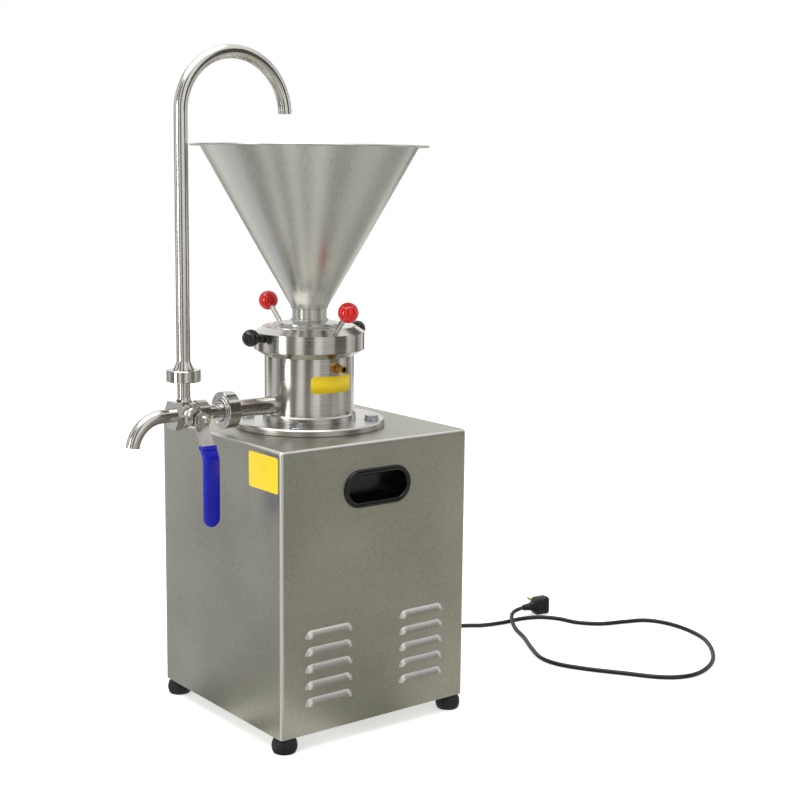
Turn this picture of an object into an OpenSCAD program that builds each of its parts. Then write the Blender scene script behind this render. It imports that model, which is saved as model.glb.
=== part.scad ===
// Colloid mill: a vertical food mill on a sheet steel cabinet, with a cone hopper, a three-way outlet
// valve and a return pipe that leads the product back into the hopper.
// Millimetres, +Z up, the outlet towards -Y. The origin is the centre of the footprint on the floor.

/* [Cabinet] */
// Width and depth of the cabinet
cabinet_w = 320; // [310:1:350]
// Height of the cabinet without its feet
cabinet_h = 400; // [390:1:440]
// Thickness of the sheet steel
sheet_t = 1.5; // [1.2:0.1:2]
// Outside radius of the sheet's bends
bend_r = 5; // [4:0.5:8]
// Largest diameter of a rubber foot
foot_d = 36; // [32:1:40]
// Height of a rubber foot
foot_h = 22; // [19:1:24]
// Distance from the cabinet's sides to a foot's centre
foot_inset = 15; // [13:1:25]
// How far the mill stands in front of the cabinet's middle
mill_forward = 6; // [0:0.5:10]

/* [Side panels] */
// Length of a louvre
louvre_l = 80; // [60:1:90]
// Height of a louvre
louvre_h = 11; // [9:0.5:13]
// How far a louvre stands out of the panel
louvre_out = 5; // [4:0.5:6]
// Height from one louvre to the next
louvre_pitch = 24; // [20:1:26]
// Number of louvres in a column
louvre_rows = 5; // [3:1:5]
// Height of the lowest louvre's lower edge above the cabinet's bottom
louvre_rise = 41; // [35:1:50]
// Distance from the panel's middle to a column's middle
louvre_reach = 81; // [76:1:90]
// Length of a recessed handle over its rim
handle_l = 115; // [105:1:125]
// Height of a recessed handle over its rim
handle_h = 54; // [50:1:60]
// Depth of a handle's pocket
handle_depth = 32; // [26:1:38]
// Distance from the cabinet's top down to a handle's middle
handle_drop = 65; // [60:1:80]

/* [Mill head] */
// Diameter of the base flange
flange_d = 220; // [214:1:236]
// Thickness of the base flange
flange_t = 10; // [8:0.5:14]
// Outside diameter of the mill body
body_d = 130; // [126:1:136]
// Height of the mill body up to the adjusting ring
body_h = 93; // [91:1:100]
// Outside diameter of the adjusting ring
ring_d = 160; // [156:1:170]
// Height of the adjusting ring
ring_h = 42; // [41:1:46]
// Outside diameter of the hopper's neck
neck_d = 50; // [46:1:54]
// Height of the hopper's neck above its flange
neck_h = 18; // [14:1:24]
// Height of the hopper's cone
cone_h = 230; // [200:1:260]
// Diameter of the cone's mouth
mouth_d = 312; // [280:1:320]
// Width of the hopper's flat rim
rim_w = 14; // [8:1:16]
// Thickness of the hopper's sheet
hopper_t = 1.5; // [1.2:0.1:2]

/* [Grinding set] */
// Height of the rotor's cone
rotor_h = 54; // [48:1:56]
// Diameter of the rotor's top
rotor_top_d = 60; // [56:1:64]
// Gap between the rotor and the stator
grind_gap = 0.6; // [0.4:0.1:1]
// Number of fine teeth
fine_teeth = 36; // [24:1:40]
// Number of coarse teeth
coarse_teeth = 12; // [8:1:14]
// Width of the cuts between the teeth
cut_w = 2.6; // [2:0.1:3]
// Depth of the cuts between the teeth
cut_depth = 2.6; // [2:0.1:3]
// Diameter of the shaft in the mill
shaft_d = 24; // [22:0.5:24.5]

/* [Levers and knobs] */
// Diameter of an adjusting lever's ball
lever_ball_d = 29; // [25:0.5:32]
// Diameter of an adjusting lever's rod
lever_rod_d = 8; // [6:0.5:9]
// Length of an adjusting lever from the ring to the ball's centre
lever_l = 48; // [40:1:56]
// Tilt of the adjusting levers above level, in degrees
lever_tilt = 42; // [35:1:50]
// Diameter of a locking knob's ball
lock_ball_d = 25; // [22:0.5:28]
// Diameter of a locking knob's stud
lock_stud_d = 10; // [8:0.5:10]
// Tilt of the locking knobs above level, in degrees
lock_tilt = 8; // [0:1:10]

/* [Outlet and valve] */
// Height of the outlet's middle above the base flange
outlet_rise = 24; // [23:0.5:28]
// Outside diameter of the outlet pipe
outlet_d = 25.4; // [22:0.1:27]
// Distance from the mill's axis to the valve's middle
valve_reach = 208; // [204:1:230]
// Outside diameter of the return pipe and the spout
pipe_d = 19; // [18:0.1:20]
// Wall of the pipes
pipe_t = 1.5; // [1:0.1:2]
// Outside diameter of the outlet's union nut
outlet_nut_d = 53; // [50:0.5:58]
// Outside diameter of the return's union nut
return_nut_d = 47.6; // [44:0.1:50]
// Bend radius of the spout
spout_bend = 46; // [36:1:56]
// Turn of the spout's bend, in degrees
spout_turn = 81; // [60:1:88]
// Height of the return pipe's arch centre above the hopper's mouth
arch_rise = 42; // [30:1:60]
// Distance from the mill's axis to the return pipe's end
hook_reach = 42; // [36:1:56]
// Diameter of the valve's ball
ball_d = 22; // [21:0.5:23]
// Diameter of the valve's ports
port_d = 14; // [12:0.5:15]
// Width across the flats of the valve's end nut
end_nut_af = 38; // [36:0.5:42]

/* [Valve lever] */
// Length of the lever from its pivot to its tip
handle_arm = 144; // [126:1:150]
// Width of the lever's steel strip
strip_w = 20; // [18:0.5:22]
// Thickness of the lever's steel strip
strip_t = 4; // [3:0.5:5]
// How far the grip is set off from the strip's hub
strip_offset = 24; // [16:1:26]
// Height over which the strip is set off
strip_run = 38; // [30:1:44]
// Length of the grip's sleeve
grip_l = 110; // [90:1:112]
// Wall of the grip's sleeve
grip_t = 2; // [1.5:0.1:3]

/* [Drive] */
// Diameter of the motor's housing without its ribs
motor_d = 150; // [144:1:160]
// Length of the motor's housing
motor_l = 172; // [160:1:190]
// Outside diameter of a motor bearing
bearing_d = 52; // [50:1:56]
// Width of a motor bearing
bearing_w = 15; // [12:1:16]

/* [Power lead] */
// Diameter of the power lead
cord_d = 7; // [6:0.1:8]
// Height of the cable gland above the floor
gland_z = 70; // [60:1:90]
// Distance of the cable gland from the cabinet's middle
gland_x = -60; // [-90:1:-40]

/* [Fits] */
// Gap between faces that move past each other
play = 0.3; // [0.3:0.05:0.5]
// Radial gap of a shaft in its hole
running_gap = 0.05; // [0.03:0.01:0.08]

/* [Hidden] */
$fn = 64;
// A cut reaches this far past the faces that it opens
over = 1;

// Heights, from the floor up
z_top = foot_h + cabinet_h;
z_seat = z_top + flange_t;
z_shoulder = z_seat + body_h;
collar_h = ring_h - 11;
z_collar = z_shoulder + collar_h;
z_ring = z_shoulder + ring_h;

// Mill body and its cooling jacket
body_r = body_d / 2;
collar_r = body_r - 4;
chamber_r = body_r - 15;
chamber_floor = 10;
jacket_in = chamber_r + 4;
jacket_out = body_r - 5;
groove_depth = 2.5;
groove_w = 9;
shaft_gap = 0.5;
coolant_high = body_h - 13;
coolant_low = 28;
barb_r = 5;
barb_bore_r = 3;
barb_l = 22;
barb_hex_af = 14;
barb_hex_l = 5;
base_lip = 3;
base_lip_h = 10;

// Adjusting ring: the carrier's rim lies in a recess of its top
ring_r = ring_d / 2;
ring_foot_r = body_r + 1;
ring_top_r = ring_r - 12;
lower_chamfer = 8.7;
upper_chamfer = 8;
recess_r = ring_top_r - 1;
recess_h = 3;
thread_r = collar_r - 1;

// Stator carrier, gasket and hopper
feed_r = neck_d / 2 - 2;
rim_groove = 0.5;
carrier_step = 2;
z_carrier = z_collar + carrier_step;
carrier_top = z_ring + 1;
gasket_t = 1;
z_hopper = carrier_top + gasket_t;
neck_flange_w = 20;
neck_flange_r = neck_d / 2 + neck_flange_w;
neck_flange_h = 6;
z_neck = z_hopper + neck_flange_h + neck_h;
z_mouth = z_neck + cone_h;
mouth_r = mouth_d / 2;
guide_angles = [30, 150, 270];
guide_sunk = 10;
guide_up = 6;
guide_d = 6;
guide_reach = (collar_r + chamber_r) / 2;

// Grinding set
rotor_r = chamber_r - 6;
rotor_top_r = rotor_top_d / 2;
z_rotor = z_shoulder - rotor_h - 3;
stator_lift = 10;
rotor_slope = atan((rotor_r - rotor_top_r) / rotor_h);
shaft_r = shaft_d / 2;
rotor_bore_r = shaft_r - 2;
nut_thread_r = rotor_bore_r - 2;
rotor_nut_af = 24;
rotor_nut_h = 10;
seal_h = 6;
seal_w = 8;
teeth_lead = 12;
z_teeth = z_rotor + rotor_h / 2;

// Drive, hung under the cabinet's top
z_motor = z_top - sheet_t;
motor_flange_t = 12;
motor_r = motor_d / 2;
motor_wall = 5;
bearing_r = bearing_d / 2;
journal_r = shaft_r + 0.5;
z_frame = z_motor - motor_flange_t;
z_frame_low = z_frame - motor_l;
end_cover_t = 10;
bearing_inset = 4;
core_h = 110;
core_r = 46;
air_gap = 0.5;
z_core = (z_frame + z_frame_low) / 2 - core_h / 2;
fan_h = 16;
fan_r = motor_r - 12;
z_fan = z_frame_low - end_cover_t - bearing_w - fan_h - 6;
fan_cover_t = 1.5;
fan_cover_h = z_frame_low - z_fan + 6;
fan_hub_r = 20;
fan_blades = 8;
housing_ribs = 24;
rib_h = 5;
rib_t = 2;
bolt_d = 10;
bolt_af = 17;
bolt_head_h = 6.4;
bolt_nut_h = 8;
bolt_inset = 18;
bolt_reach = flange_d / 2 - bolt_inset;

// Outlet, valve and pipes
outlet_z = z_seat + outlet_rise;
outlet_r = outlet_d / 2;
pipe_r = pipe_d / 2;
bore_r = pipe_r - pipe_t;
ball_r = ball_d / 2;
port_r = port_d / 2;
valve_r = ball_r + 7;
inlet_l = 34;
inlet_r = ball_r + 7;
cap_from = 8;
cap_l = 12;
cap_r = end_nut_af / 2 / cos(30);
cap_to = cap_from + cap_l;
socket_l = 6;
seat_t = 2.5;
seat_from = sqrt(ball_r * ball_r - port_r * port_r) + play;
seat_r = seat_from - play;
cavity_r = ball_r + 2;
bonnet_r = 13;
bonnet_l = 34;
stem_r = 5;
slot_x = port_r + 1.5;
tang_t = 4;
packing_t = 8;
packing_af = 20;
lever_x = bonnet_l + packing_t + 4;
lever_nut_l = 8;
lever_nut_af = 17;
lever_dome = 2;
strip_drop = 12;
neck_pipe_r = pipe_r - 0.5;
flare = 8;
flare_z = ball_r + 5;
nut_z = 46;
ferrule_h = 8;
seal_t = 1.5;
liner_t = 3;
nut_wall = 3;
return_nut_h = ferrule_h + seal_t + liner_t + 2 * play + nut_wall;
return_ferrule_r = return_nut_d / 2 - 4.8;
liner_collar_r = pipe_r + 4.5;
liner_collar_h = 12;
notch_w = 5;
notch_depth = 2;
union_setback = 78;
union_start = valve_reach - union_setback;
outlet_nut_l = 19;
outlet_ferrule_r = outlet_nut_d / 2 - 5;
outlet_ferrule_l = 12;
outlet_nut_wall = 4;
outlet_seal_y = union_start + outlet_ferrule_l;
tube_r = pipe_r + 0.5;
liner_ring_r = tube_r + 4;
spout_run = 14;
arch_r = (valve_reach - hook_reach) / 2;
arch_z = z_mouth + arch_rise;
arch_turn = 179;

// The mill's axis stands behind the footprint's centre, because the spout reaches out in front
gland_hex_l = 5;
gland_l = 22;
front_reach = valve_reach + cap_to + spout_run + (spout_bend + pipe_r) * sin(spout_turn);
back_reach = mill_forward + cabinet_w / 2 + sheet_t + gland_l;
mill_y = (front_reach - back_reach) / 2;

// Levers and knobs: plan angles are counted from the front towards the right
lever_angles = [85, 270];
lever_seat_r = (ring_r + ring_top_r) / 2;
lever_seat_z = z_ring - upper_chamfer / 2;
lever_sunk = 8;
lock_angles = [0, 190];
lock_z = z_ring - upper_chamfer - 7;
lock_ball_l = 20;
lock_neck_d = 13;
lock_tip_d = 6;

// Handles in the side panels
handle_rim = 8;
handle_wall = 2;
handle_z = z_top - handle_drop;

// Louvres pressed out of the side panels
louvre_r = (louvre_h * louvre_h + louvre_out * louvre_out) / (2 * louvre_out);

// Back panel and its fittings
screw_d = 4;
screw_head_d = 7;
screw_head_h = 2;
panel_lap = 7;
panel_frame = 16;
panel_w = cabinet_w - 2 * (panel_frame - panel_lap);
panel_h = cabinet_h - 2 * (panel_frame - panel_lap);
gland_r = 9;
switch_x = 60;
switch_drop = 70;
switch_z = z_top - switch_drop;
switch_w = 30;
switch_h = 22;
switch_depth = 18;
bezel = 3;
bezel_t = 2;
switch_wall = 2;
rocker_sunk = 4;
rocker_pin_r = 1.5;
capacitor_inset = 60;
capacitor_reach = cabinet_w / 2 - capacitor_inset;
capacitor_r = 20;
capacitor_h = 75;
terminal_r = 3;
terminal_h = 8;

// Base plate with air slots, and the screws of the feet
vent_l = 120;
vent_w = 12;
vent_pitch = 30;
vent_reach = 60;
foot_reach = cabinet_w / 2 - foot_inset;
foot_screw_d = 6;
foot_nut_d = 12;
foot_nut_h = 3;

// The power lead lies on the floor behind the cabinet: points from the mill's axis, by hand
plug_turn = 8;
plug_at = [-121, 540, 16];
relief_l = 16;
plug_l = 34;
plug_h = 31;
plug_t = 22;
plug_round = 5;
plug_dir = [sin(plug_turn), cos(plug_turn), 0];
pin_w = 6;
pin_t = 1.6;
pin_l = 18;
cord_z = cord_d / 2 + 0.1;
gland_tip = [gland_x, cabinet_w / 2 + sheet_t + gland_l, gland_z];
cord_points = [
  [gland_x, 210, gland_z - 3], [-64, 245, 40], [-80, 280, 14], [-105, 315, cord_z + 1.6],
  [-132, 360, cord_z + 0.2], [-135, 405, cord_z], [-115, 440, cord_z], [-106, 480, cord_z],
  [-104, 518, cord_z], [-92, 552, cord_z], [-66, 574, cord_z], [-30, 586, cord_z],
  [0, 615, cord_z], [16, 658, cord_z], [32, 694, cord_z], [66, 712, cord_z],
  [114, 713, cord_z], [165, 697, cord_z], [212, 662, cord_z], [250, 618, cord_z],
  [272, 568, cord_z], [272, 527, cord_z], [250, 492, cord_z], [205, 460, cord_z],
  [157, 427, cord_z], [112, 405, cord_z], [72, 404, cord_z], [28, 424, cord_z + 0.1],
  [-22, 452, cord_z + 0.4], [-64, 470, 6], [-96, 490, 11.5], [-115, 512, 14.5]
];
lead_in = 30;
cord_sides = 10;
cord_steps = 2;

// Helpers for placing: plan angles run from the front towards the right
module at_mill(z = 0) {
  translate([0, mill_y, z]) children();
}
module at_cabinet(z = 0) {
  translate([0, mill_y + mill_forward, z]) children();
}
module at_plan(angle, reach, z) {
  at_mill(z) rotate([0, 0, angle - 90]) translate([reach, 0, 0]) children();
}
module at_valve() {
  translate([0, mill_y - valve_reach, outlet_z]) children();
}
module to_front() {
  rotate([90, 0, 0]) children();
}
module to_back() {
  rotate([-90, 0, 0]) children();
}
module to_right() {
  rotate([0, 90, 0]) children();
}
module tube(r_out, r_in, h) {
  difference() {
    cylinder(r = r_out, h = h);
    translate([0, 0, -over]) cylinder(r = r_in, h = h + 2 * over);
  }
}
module hex(af, h) {
  cylinder(r = af / 2 / cos(30), h = h, $fn = 6);
}
module stadium(l, h) {
  square([l - h, h], center = true);
  for (side = [-1, 1]) translate([side * (l - h) / 2, 0]) circle(d = h);
}
function arc(x, y, r, from, to, n) = [
  for (i = [0:n]) [x + r * cos(from + (to - from) * i / n), y + r * sin(from + (to - from) * i / n)]
];

// Cabinet
module rounded_box(w, h, r) {
  hull() {
    for (x = [-1, 1], y = [-1, 1]) translate([x * (w / 2 - r), y * (w / 2 - r), 0]) {
      cylinder(r = r, h = 1, $fn = 32);
      translate([0, 0, h - r]) rotate_extrude($fn = 32) intersection() {
        circle(r = r, $fn = 32);
        square(r);
      }
    }
  }
}
module side_frame(side, z) {
  at_cabinet(z) rotate([0, 0, side > 0 ? 0 : 180]) translate([cabinet_w / 2, 0, 0]) children();
}
module louvre_form(inset) {
  r = louvre_r - inset;
  span = louvre_l / 2 - louvre_h;
  translate([louvre_out - louvre_r, 0, 0]) to_back() rotate_extrude() intersection() {
    translate([0, -louvre_l]) square([louvre_r, 2 * louvre_l]);
    union() {
      translate([0, -span]) square([r, 2 * span]);
      for (end = [-1, 1]) translate([0, end * span]) circle(r = r);
    }
  }
}
module louvre_half(inset, inside) {
  intersection() {
    louvre_form(inset);
    translate([-inside, -louvre_l, 0]) cube([inside + louvre_out + over, 2 * louvre_l, louvre_h + over]);
  }
}
module louvre_places() {
  for (side = [-1, 1], column = [-1, 1], row = [0:louvre_rows - 1])
    side_frame(side, foot_h + louvre_rise + row * louvre_pitch)
      translate([0, column * louvre_reach, 0]) children();
}
module cabinet_shell() {
  color("silver") union() {
    difference() {
      at_cabinet(foot_h) rounded_box(cabinet_w, cabinet_h, bend_r);
      at_cabinet(foot_h - over)
        rounded_box(cabinet_w - 2 * sheet_t, cabinet_h - sheet_t + over, bend_r - sheet_t);
      at_mill(z_top - 2 * sheet_t) cylinder(r = shaft_r + 6, h = 3 * sheet_t);
      for (i = [0:3]) at_plan(45 + 90 * i, bolt_reach, z_top - 2 * sheet_t)
        cylinder(d = bolt_d + 1, h = 3 * sheet_t);
      for (side = [-1, 1]) side_frame(side, handle_z) translate([-2 * sheet_t, 0, 0]) to_right()
        rotate([0, 0, 90]) linear_extrude(height = 3 * sheet_t) handle_opening(play);
      at_cabinet(foot_h + panel_frame)
        translate([panel_frame - cabinet_w / 2, cabinet_w / 2 - 2 * sheet_t, 0])
        cube([cabinet_w - 2 * panel_frame, 3 * sheet_t, cabinet_h - 2 * panel_frame]);
      louvre_places() louvre_half(sheet_t, 2 * sheet_t);
      panel_screw_places() to_front() cylinder(d = screw_d, h = 4 * sheet_t, center = true);
    }
    louvre_places() difference() {
      louvre_half(0, sheet_t / 2);
      louvre_form(sheet_t);
    }
  }
}
module panel_screw_places() {
  for (x = [-1, 1], i = [0:3])
    at_cabinet(foot_h + panel_frame - panel_lap / 2 + i * (cabinet_h - 2 * panel_frame + panel_lap) / 3)
      translate([x * (cabinet_w / 2 - panel_frame + panel_lap / 2), cabinet_w / 2, 0]) children();
}
module back_panel() {
  color("lightgray") difference() {
    at_cabinet(foot_h + panel_frame - panel_lap) translate([-panel_w / 2, cabinet_w / 2, 0])
      cube([panel_w, sheet_t, panel_h]);
    at_cabinet(gland_z) translate([gland_x, cabinet_w / 2 - over, 0]) to_back()
      cylinder(r = gland_r - 1, h = sheet_t + 2 * over);
    at_cabinet(switch_z) translate([switch_x, cabinet_w / 2, 0])
      cube([switch_w, 4 * sheet_t, switch_h], center = true);
    panel_screw_places() to_front() cylinder(d = screw_d, h = 4 * sheet_t, center = true);
  }
}
module panel_screws() {
  color("gray") panel_screw_places() {
    translate([0, sheet_t, 0]) to_back() cylinder(d = screw_head_d, h = screw_head_h);
    translate([0, sheet_t, 0]) to_front() cylinder(d = screw_d, h = 4 * sheet_t);
  }
}
module base_plate() {
  w = cabinet_w - 2 * sheet_t - 2 * running_gap;
  color("gray") difference() {
    at_cabinet(foot_h) translate([-w / 2, -w / 2, 0]) linear_extrude(height = 2 * sheet_t)
      polygon(concat(
        arc(bend_r, bend_r, bend_r, 180, 270, 6), arc(w - bend_r, bend_r, bend_r, 270, 360, 6),
        arc(w - bend_r, w - bend_r, bend_r, 0, 90, 6), arc(bend_r, w - bend_r, bend_r, 90, 180, 6)));
    foot_places() cylinder(d = foot_screw_d, h = 3 * foot_h);
    for (x = [-vent_reach:vent_pitch:vent_reach]) at_cabinet(foot_h - over)
      translate([x - vent_w / 2, -vent_l / 2, 0]) cube([vent_w, vent_l, 2 * sheet_t + 2 * over]);
  }
}
module foot_places() {
  for (x = [-1, 1], y = [-1, 1]) at_cabinet() translate([x * foot_reach, y * foot_reach, 0]) children();
}
module rubber_feet() {
  r = foot_d / 2;
  rise = foot_h * 0.42;
  color("black") foot_places() difference() {
    intersection() {
      translate([0, 0, rise]) sphere(r = r);
      cylinder(r = foot_d, h = foot_h);
    }
    translate([0, 0, foot_h / 2]) cylinder(d = foot_screw_d, h = foot_h);
  }
}
module foot_screws() {
  color("gray") foot_places() {
    translate([0, 0, foot_h + 2 * sheet_t]) cylinder(d = foot_nut_d, h = foot_nut_h);
    translate([0, 0, foot_h / 2]) cylinder(d = foot_screw_d, h = foot_h / 2 + 2 * sheet_t);
  }
}

// Recessed handles: a half-round rim round a pocket
module handle_opening(gap) {
  stadium(handle_l - 2 * handle_rim + 2 * handle_wall + 2 * gap,
          handle_h - 2 * handle_rim + 2 * handle_wall + 2 * gap);
}
module handle_bead() {
  intersection() {
    translate([(handle_h - handle_rim) / 2, 0]) circle(r = handle_rim / 2);
    square([handle_h, handle_rim]);
  }
}
module recessed_handle() {
  straight = handle_l - handle_h;
  for (end = [-1, 1]) {
    translate([end * straight / 2, 0, 0]) rotate([0, 0, -90 * end])
      rotate_extrude(angle = 180) handle_bead();
    rotate([0, 0, end > 0 ? 0 : 180]) translate([-straight / 2, 0, 0])
      rotate([90, 0, 90]) linear_extrude(height = straight) handle_bead();
  }
  difference() {
    translate([0, 0, -handle_depth]) linear_extrude(height = handle_depth) handle_opening(0);
    translate([0, 0, handle_wall - handle_depth]) linear_extrude(height = handle_depth)
      stadium(handle_l - 2 * handle_rim, handle_h - 2 * handle_rim);
  }
}
module right_handle() {
  color("black") side_frame(1, handle_z) rotate([90, 0, 90]) recessed_handle();
}
module left_handle() {
  color("black") side_frame(-1, handle_z) rotate([90, 0, 90]) recessed_handle();
}

// Switch and power lead
module at_switch() {
  at_cabinet(switch_z) translate([switch_x, cabinet_w / 2 + sheet_t, 0]) children();
}
module switch_body() {
  well = 2 * rocker_sunk + 2 * bezel;
  color("dimgray") at_switch() {
    difference() {
      union() {
        translate([-switch_w / 2 - bezel, 0, -switch_h / 2 - bezel])
          cube([switch_w + 2 * bezel, bezel_t, switch_h + 2 * bezel]);
        translate([-switch_w / 2 + play, -switch_depth, -switch_h / 2 + play])
          cube([switch_w - 2 * play, switch_depth + 1, switch_h - 2 * play]);
      }
      translate([switch_wall - switch_w / 2, -well, switch_wall - switch_h / 2])
        cube([switch_w - 2 * switch_wall, 2 * well, switch_h - 2 * switch_wall]);
    }
    translate([0, -rocker_sunk, 0]) to_right()
      cylinder(r = rocker_pin_r, h = switch_w - 2 * switch_wall + 1, center = true);
  }
}
module switch_rocker() {
  long = switch_w - 2 * switch_wall - 2 * play;
  half = switch_h / 2 - 2 * switch_wall;
  color("black") at_switch() translate([0, -rocker_sunk, 0]) difference() {
    rotate([90, 0, 90]) translate([0, 0, -long / 2]) linear_extrude(height = long)
      polygon([[half, -half], [rocker_sunk, 0], [half, half],
        [-rocker_sunk, rocker_sunk], [-rocker_sunk, -rocker_sunk]]);
    to_right() cylinder(r = rocker_pin_r + running_gap, h = switch_w, center = true);
  }
}
module cable_gland() {
  color("black") at_cabinet(gland_z) translate([gland_x, cabinet_w / 2 + sheet_t, 0]) {
    to_back() hex(2 * gland_r + 4, gland_hex_l);
    to_back() rotate_extrude() polygon([
      [0, -8], [gland_r - 1, -8], [gland_r - 1, 0], [gland_r, gland_hex_l],
      [gland_r, gland_l - 8], [gland_r - 3, gland_l], [0, gland_l]]);
  }
}

// A smooth line through the lead's points, and a round tube along it
function spline(a, b, c, d, t) =
  0.5 * (2 * b + (c - a) * t + (2 * a - 5 * b + 4 * c - d) * t * t + (3 * b - a - 3 * c + d) * t * t * t);
function smooth(p, steps) = [
  for (i = [1:len(p) - 3], k = [0:steps - 1]) spline(p[i - 1], p[i], p[i + 1], p[i + 2], k / steps),
  p[len(p) - 2]
];
module swept_tube(line, d, sides) {
  last = len(line) - 1;
  along = [for (i = [0:last]) line[min(i + 1, last)] - line[max(i - 1, 0)]];
  ahead = [for (v = along) v / norm(v)];
  across = [for (v = ahead) cross(v, [0, 0, 1]) / norm(cross(v, [0, 0, 1]))];
  polyhedron(
    points = [
      for (i = [0:last], k = [0:sides - 1])
        line[i] + d / 2 * cos(360 * k / sides) * across[i]
          + d / 2 * sin(360 * k / sides) * cross(across[i], ahead[i])
    ],
    faces = concat(
      [[for (k = [0:sides - 1]) k]],
      [for (i = [0:last - 1], k = [0:sides - 1]) [
        i * sides + k, (i + 1) * sides + k, (i + 1) * sides + (k + 1) % sides, i * sides + (k + 1) % sides
      ]],
      [[for (k = [sides - 1:-1:0]) last * sides + k]]
    )
  );
}
module power_cord() {
  route = concat(
    [gland_tip - [0, lead_in, 0], gland_tip], cord_points, [plug_at, plug_at + lead_in * plug_dir]);
  color("black") at_cabinet() swept_tube(smooth(route, cord_steps), cord_d, cord_sides);
}
module at_plug(reach) {
  at_cabinet() translate(plug_at + reach * plug_dir) rotate([0, 0, -plug_turn]) to_back() children();
}
module power_plug() {
  neck = cord_d / 2 + 2.5;
  tall = plug_h / 2;
  color("black") {
    at_plug(0) rotate_extrude()
      polygon([[0, 0], [cord_d / 2 + 1, 0], [neck, relief_l + 1], [0, relief_l + 1]]);
    at_plug(relief_l) rotate([0, -90, 0]) translate([0, 0, -plug_t / 2]) linear_extrude(height = plug_t)
      polygon(concat(
        [[0, neck + 2], [0, -neck - 2], [plug_l / 3, -tall]],
        arc(plug_l - plug_round, plug_round - tall, plug_round, 270, 360, 5),
        arc(plug_l - plug_round, tall - plug_round, plug_round, 0, 90, 5),
        [[plug_l / 3, tall]]));
  }
}
module plug_pins() {
  color("gold") for (turn = [0, 120, 240]) at_plug(relief_l + plug_l / 2)
    rotate([0, -90, 0]) rotate([0, 0, turn]) translate([pin_w - 2, -pin_t / 2, plug_t / 2])
    cube([pin_w, pin_t, pin_l]);
}
module run_capacitor() {
  color("whitesmoke") at_cabinet(foot_h + 2 * sheet_t) translate([-capacitor_reach, capacitor_reach, 0]) {
    cylinder(r = capacitor_r, h = capacitor_h);
    translate([0, 0, capacitor_h]) cylinder(r = terminal_r, h = terminal_h);
  }
}

// Motor
module motor_flange() {
  color("slategray") difference() {
    at_mill() rotate_extrude() polygon([
      [0, z_motor], [flange_d / 2 - 5, z_motor], [flange_d / 2 - 5, z_frame], [bearing_r + 6, z_frame],
      [bearing_r + 6, z_frame - bearing_w], [0, z_frame - bearing_w]]);
    at_mill(z_frame - bearing_w - over) cylinder(r = bearing_r, h = bearing_w + bearing_inset + over);
    at_mill(z_frame) cylinder(r = journal_r + 2, h = motor_flange_t + over);
    for (i = [0:3]) at_plan(45 + 90 * i, bolt_reach, z_frame - over)
      cylinder(d = bolt_d + 1, h = motor_flange_t + 2 * over);
  }
}
module motor_housing() {
  color("slategray") at_mill(z_frame_low) linear_extrude(height = motor_l) difference() {
    union() {
      circle(r = motor_r);
      for (i = [1:housing_ribs]) rotate(360 * i / housing_ribs) translate([motor_r - 1, -rib_t / 2])
        square([rib_h + 1, rib_t]);
    }
    circle(r = motor_r - motor_wall);
  }
}
module motor_stator() {
  color("darkorange") at_mill(z_core) tube(motor_r - motor_wall, core_r, core_h);
}
module motor_end_cover() {
  z = z_frame_low - end_cover_t;
  color("slategray") difference() {
    at_mill() rotate_extrude() polygon([
      [0, z_frame_low], [motor_r, z_frame_low], [motor_r, z], [bearing_r + 6, z],
      [bearing_r + 6, z - bearing_w], [0, z - bearing_w]]);
    at_mill(z - bearing_w + bearing_inset) cylinder(r = bearing_r, h = motor_l);
    at_mill(z - bearing_w - over) cylinder(r = journal_r + 2, h = motor_l);
  }
}
module motor_fan_cover() {
  z = z_frame_low - fan_cover_h;
  color("dimgray") difference() {
    at_mill() rotate_extrude() polygon([
      [bearing_r, z], [motor_r + fan_cover_t, z], [motor_r + fan_cover_t, z_frame_low],
      [motor_r, z_frame_low], [motor_r, z + fan_cover_t], [bearing_r, z + fan_cover_t]]);
    for (i = [0:11]) at_mill(z - over) rotate([0, 0, 30 * i]) translate([bearing_r + 12, -3, 0])
      cube([fan_r - bearing_r - 16, 6, fan_cover_t + 2 * over]);
  }
}
module motor_bearings() {
  low = z_frame_low - end_cover_t - bearing_w + bearing_inset;
  color("silver") for (z = [low, z_frame + bearing_inset - bearing_w])
    at_mill(z) tube(bearing_r, journal_r + running_gap, bearing_w);
}
module drive_shaft() {
  low = z_fan - 4;
  color("silver") at_mill() rotate_extrude() polygon([
    [0, low], [journal_r, low], [journal_r, z_motor], [shaft_r, z_motor], [shaft_r, z_rotor],
    [rotor_bore_r, z_rotor], [rotor_bore_r, z_rotor + rotor_h], [nut_thread_r, z_rotor + rotor_h],
    [nut_thread_r, z_rotor + rotor_h + 1.4 * rotor_nut_h], [0, z_rotor + rotor_h + 1.4 * rotor_nut_h]]);
}
module motor_rotor() {
  color("darkgray") at_mill(z_core) tube(core_r - air_gap, journal_r, core_h);
}
module motor_fan() {
  color("dimgray") at_mill(z_fan) difference() {
    union() {
      cylinder(r = fan_hub_r, h = fan_h);
      cylinder(r = fan_r, h = 2);
      for (i = [1:fan_blades]) rotate([0, 0, 360 * i / fan_blades]) translate([fan_hub_r - 5, -1, 0])
        cube([fan_r - fan_hub_r, 2, fan_h]);
    }
    translate([0, 0, -over]) cylinder(r = journal_r, h = fan_h + 2 * over);
  }
}

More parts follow.
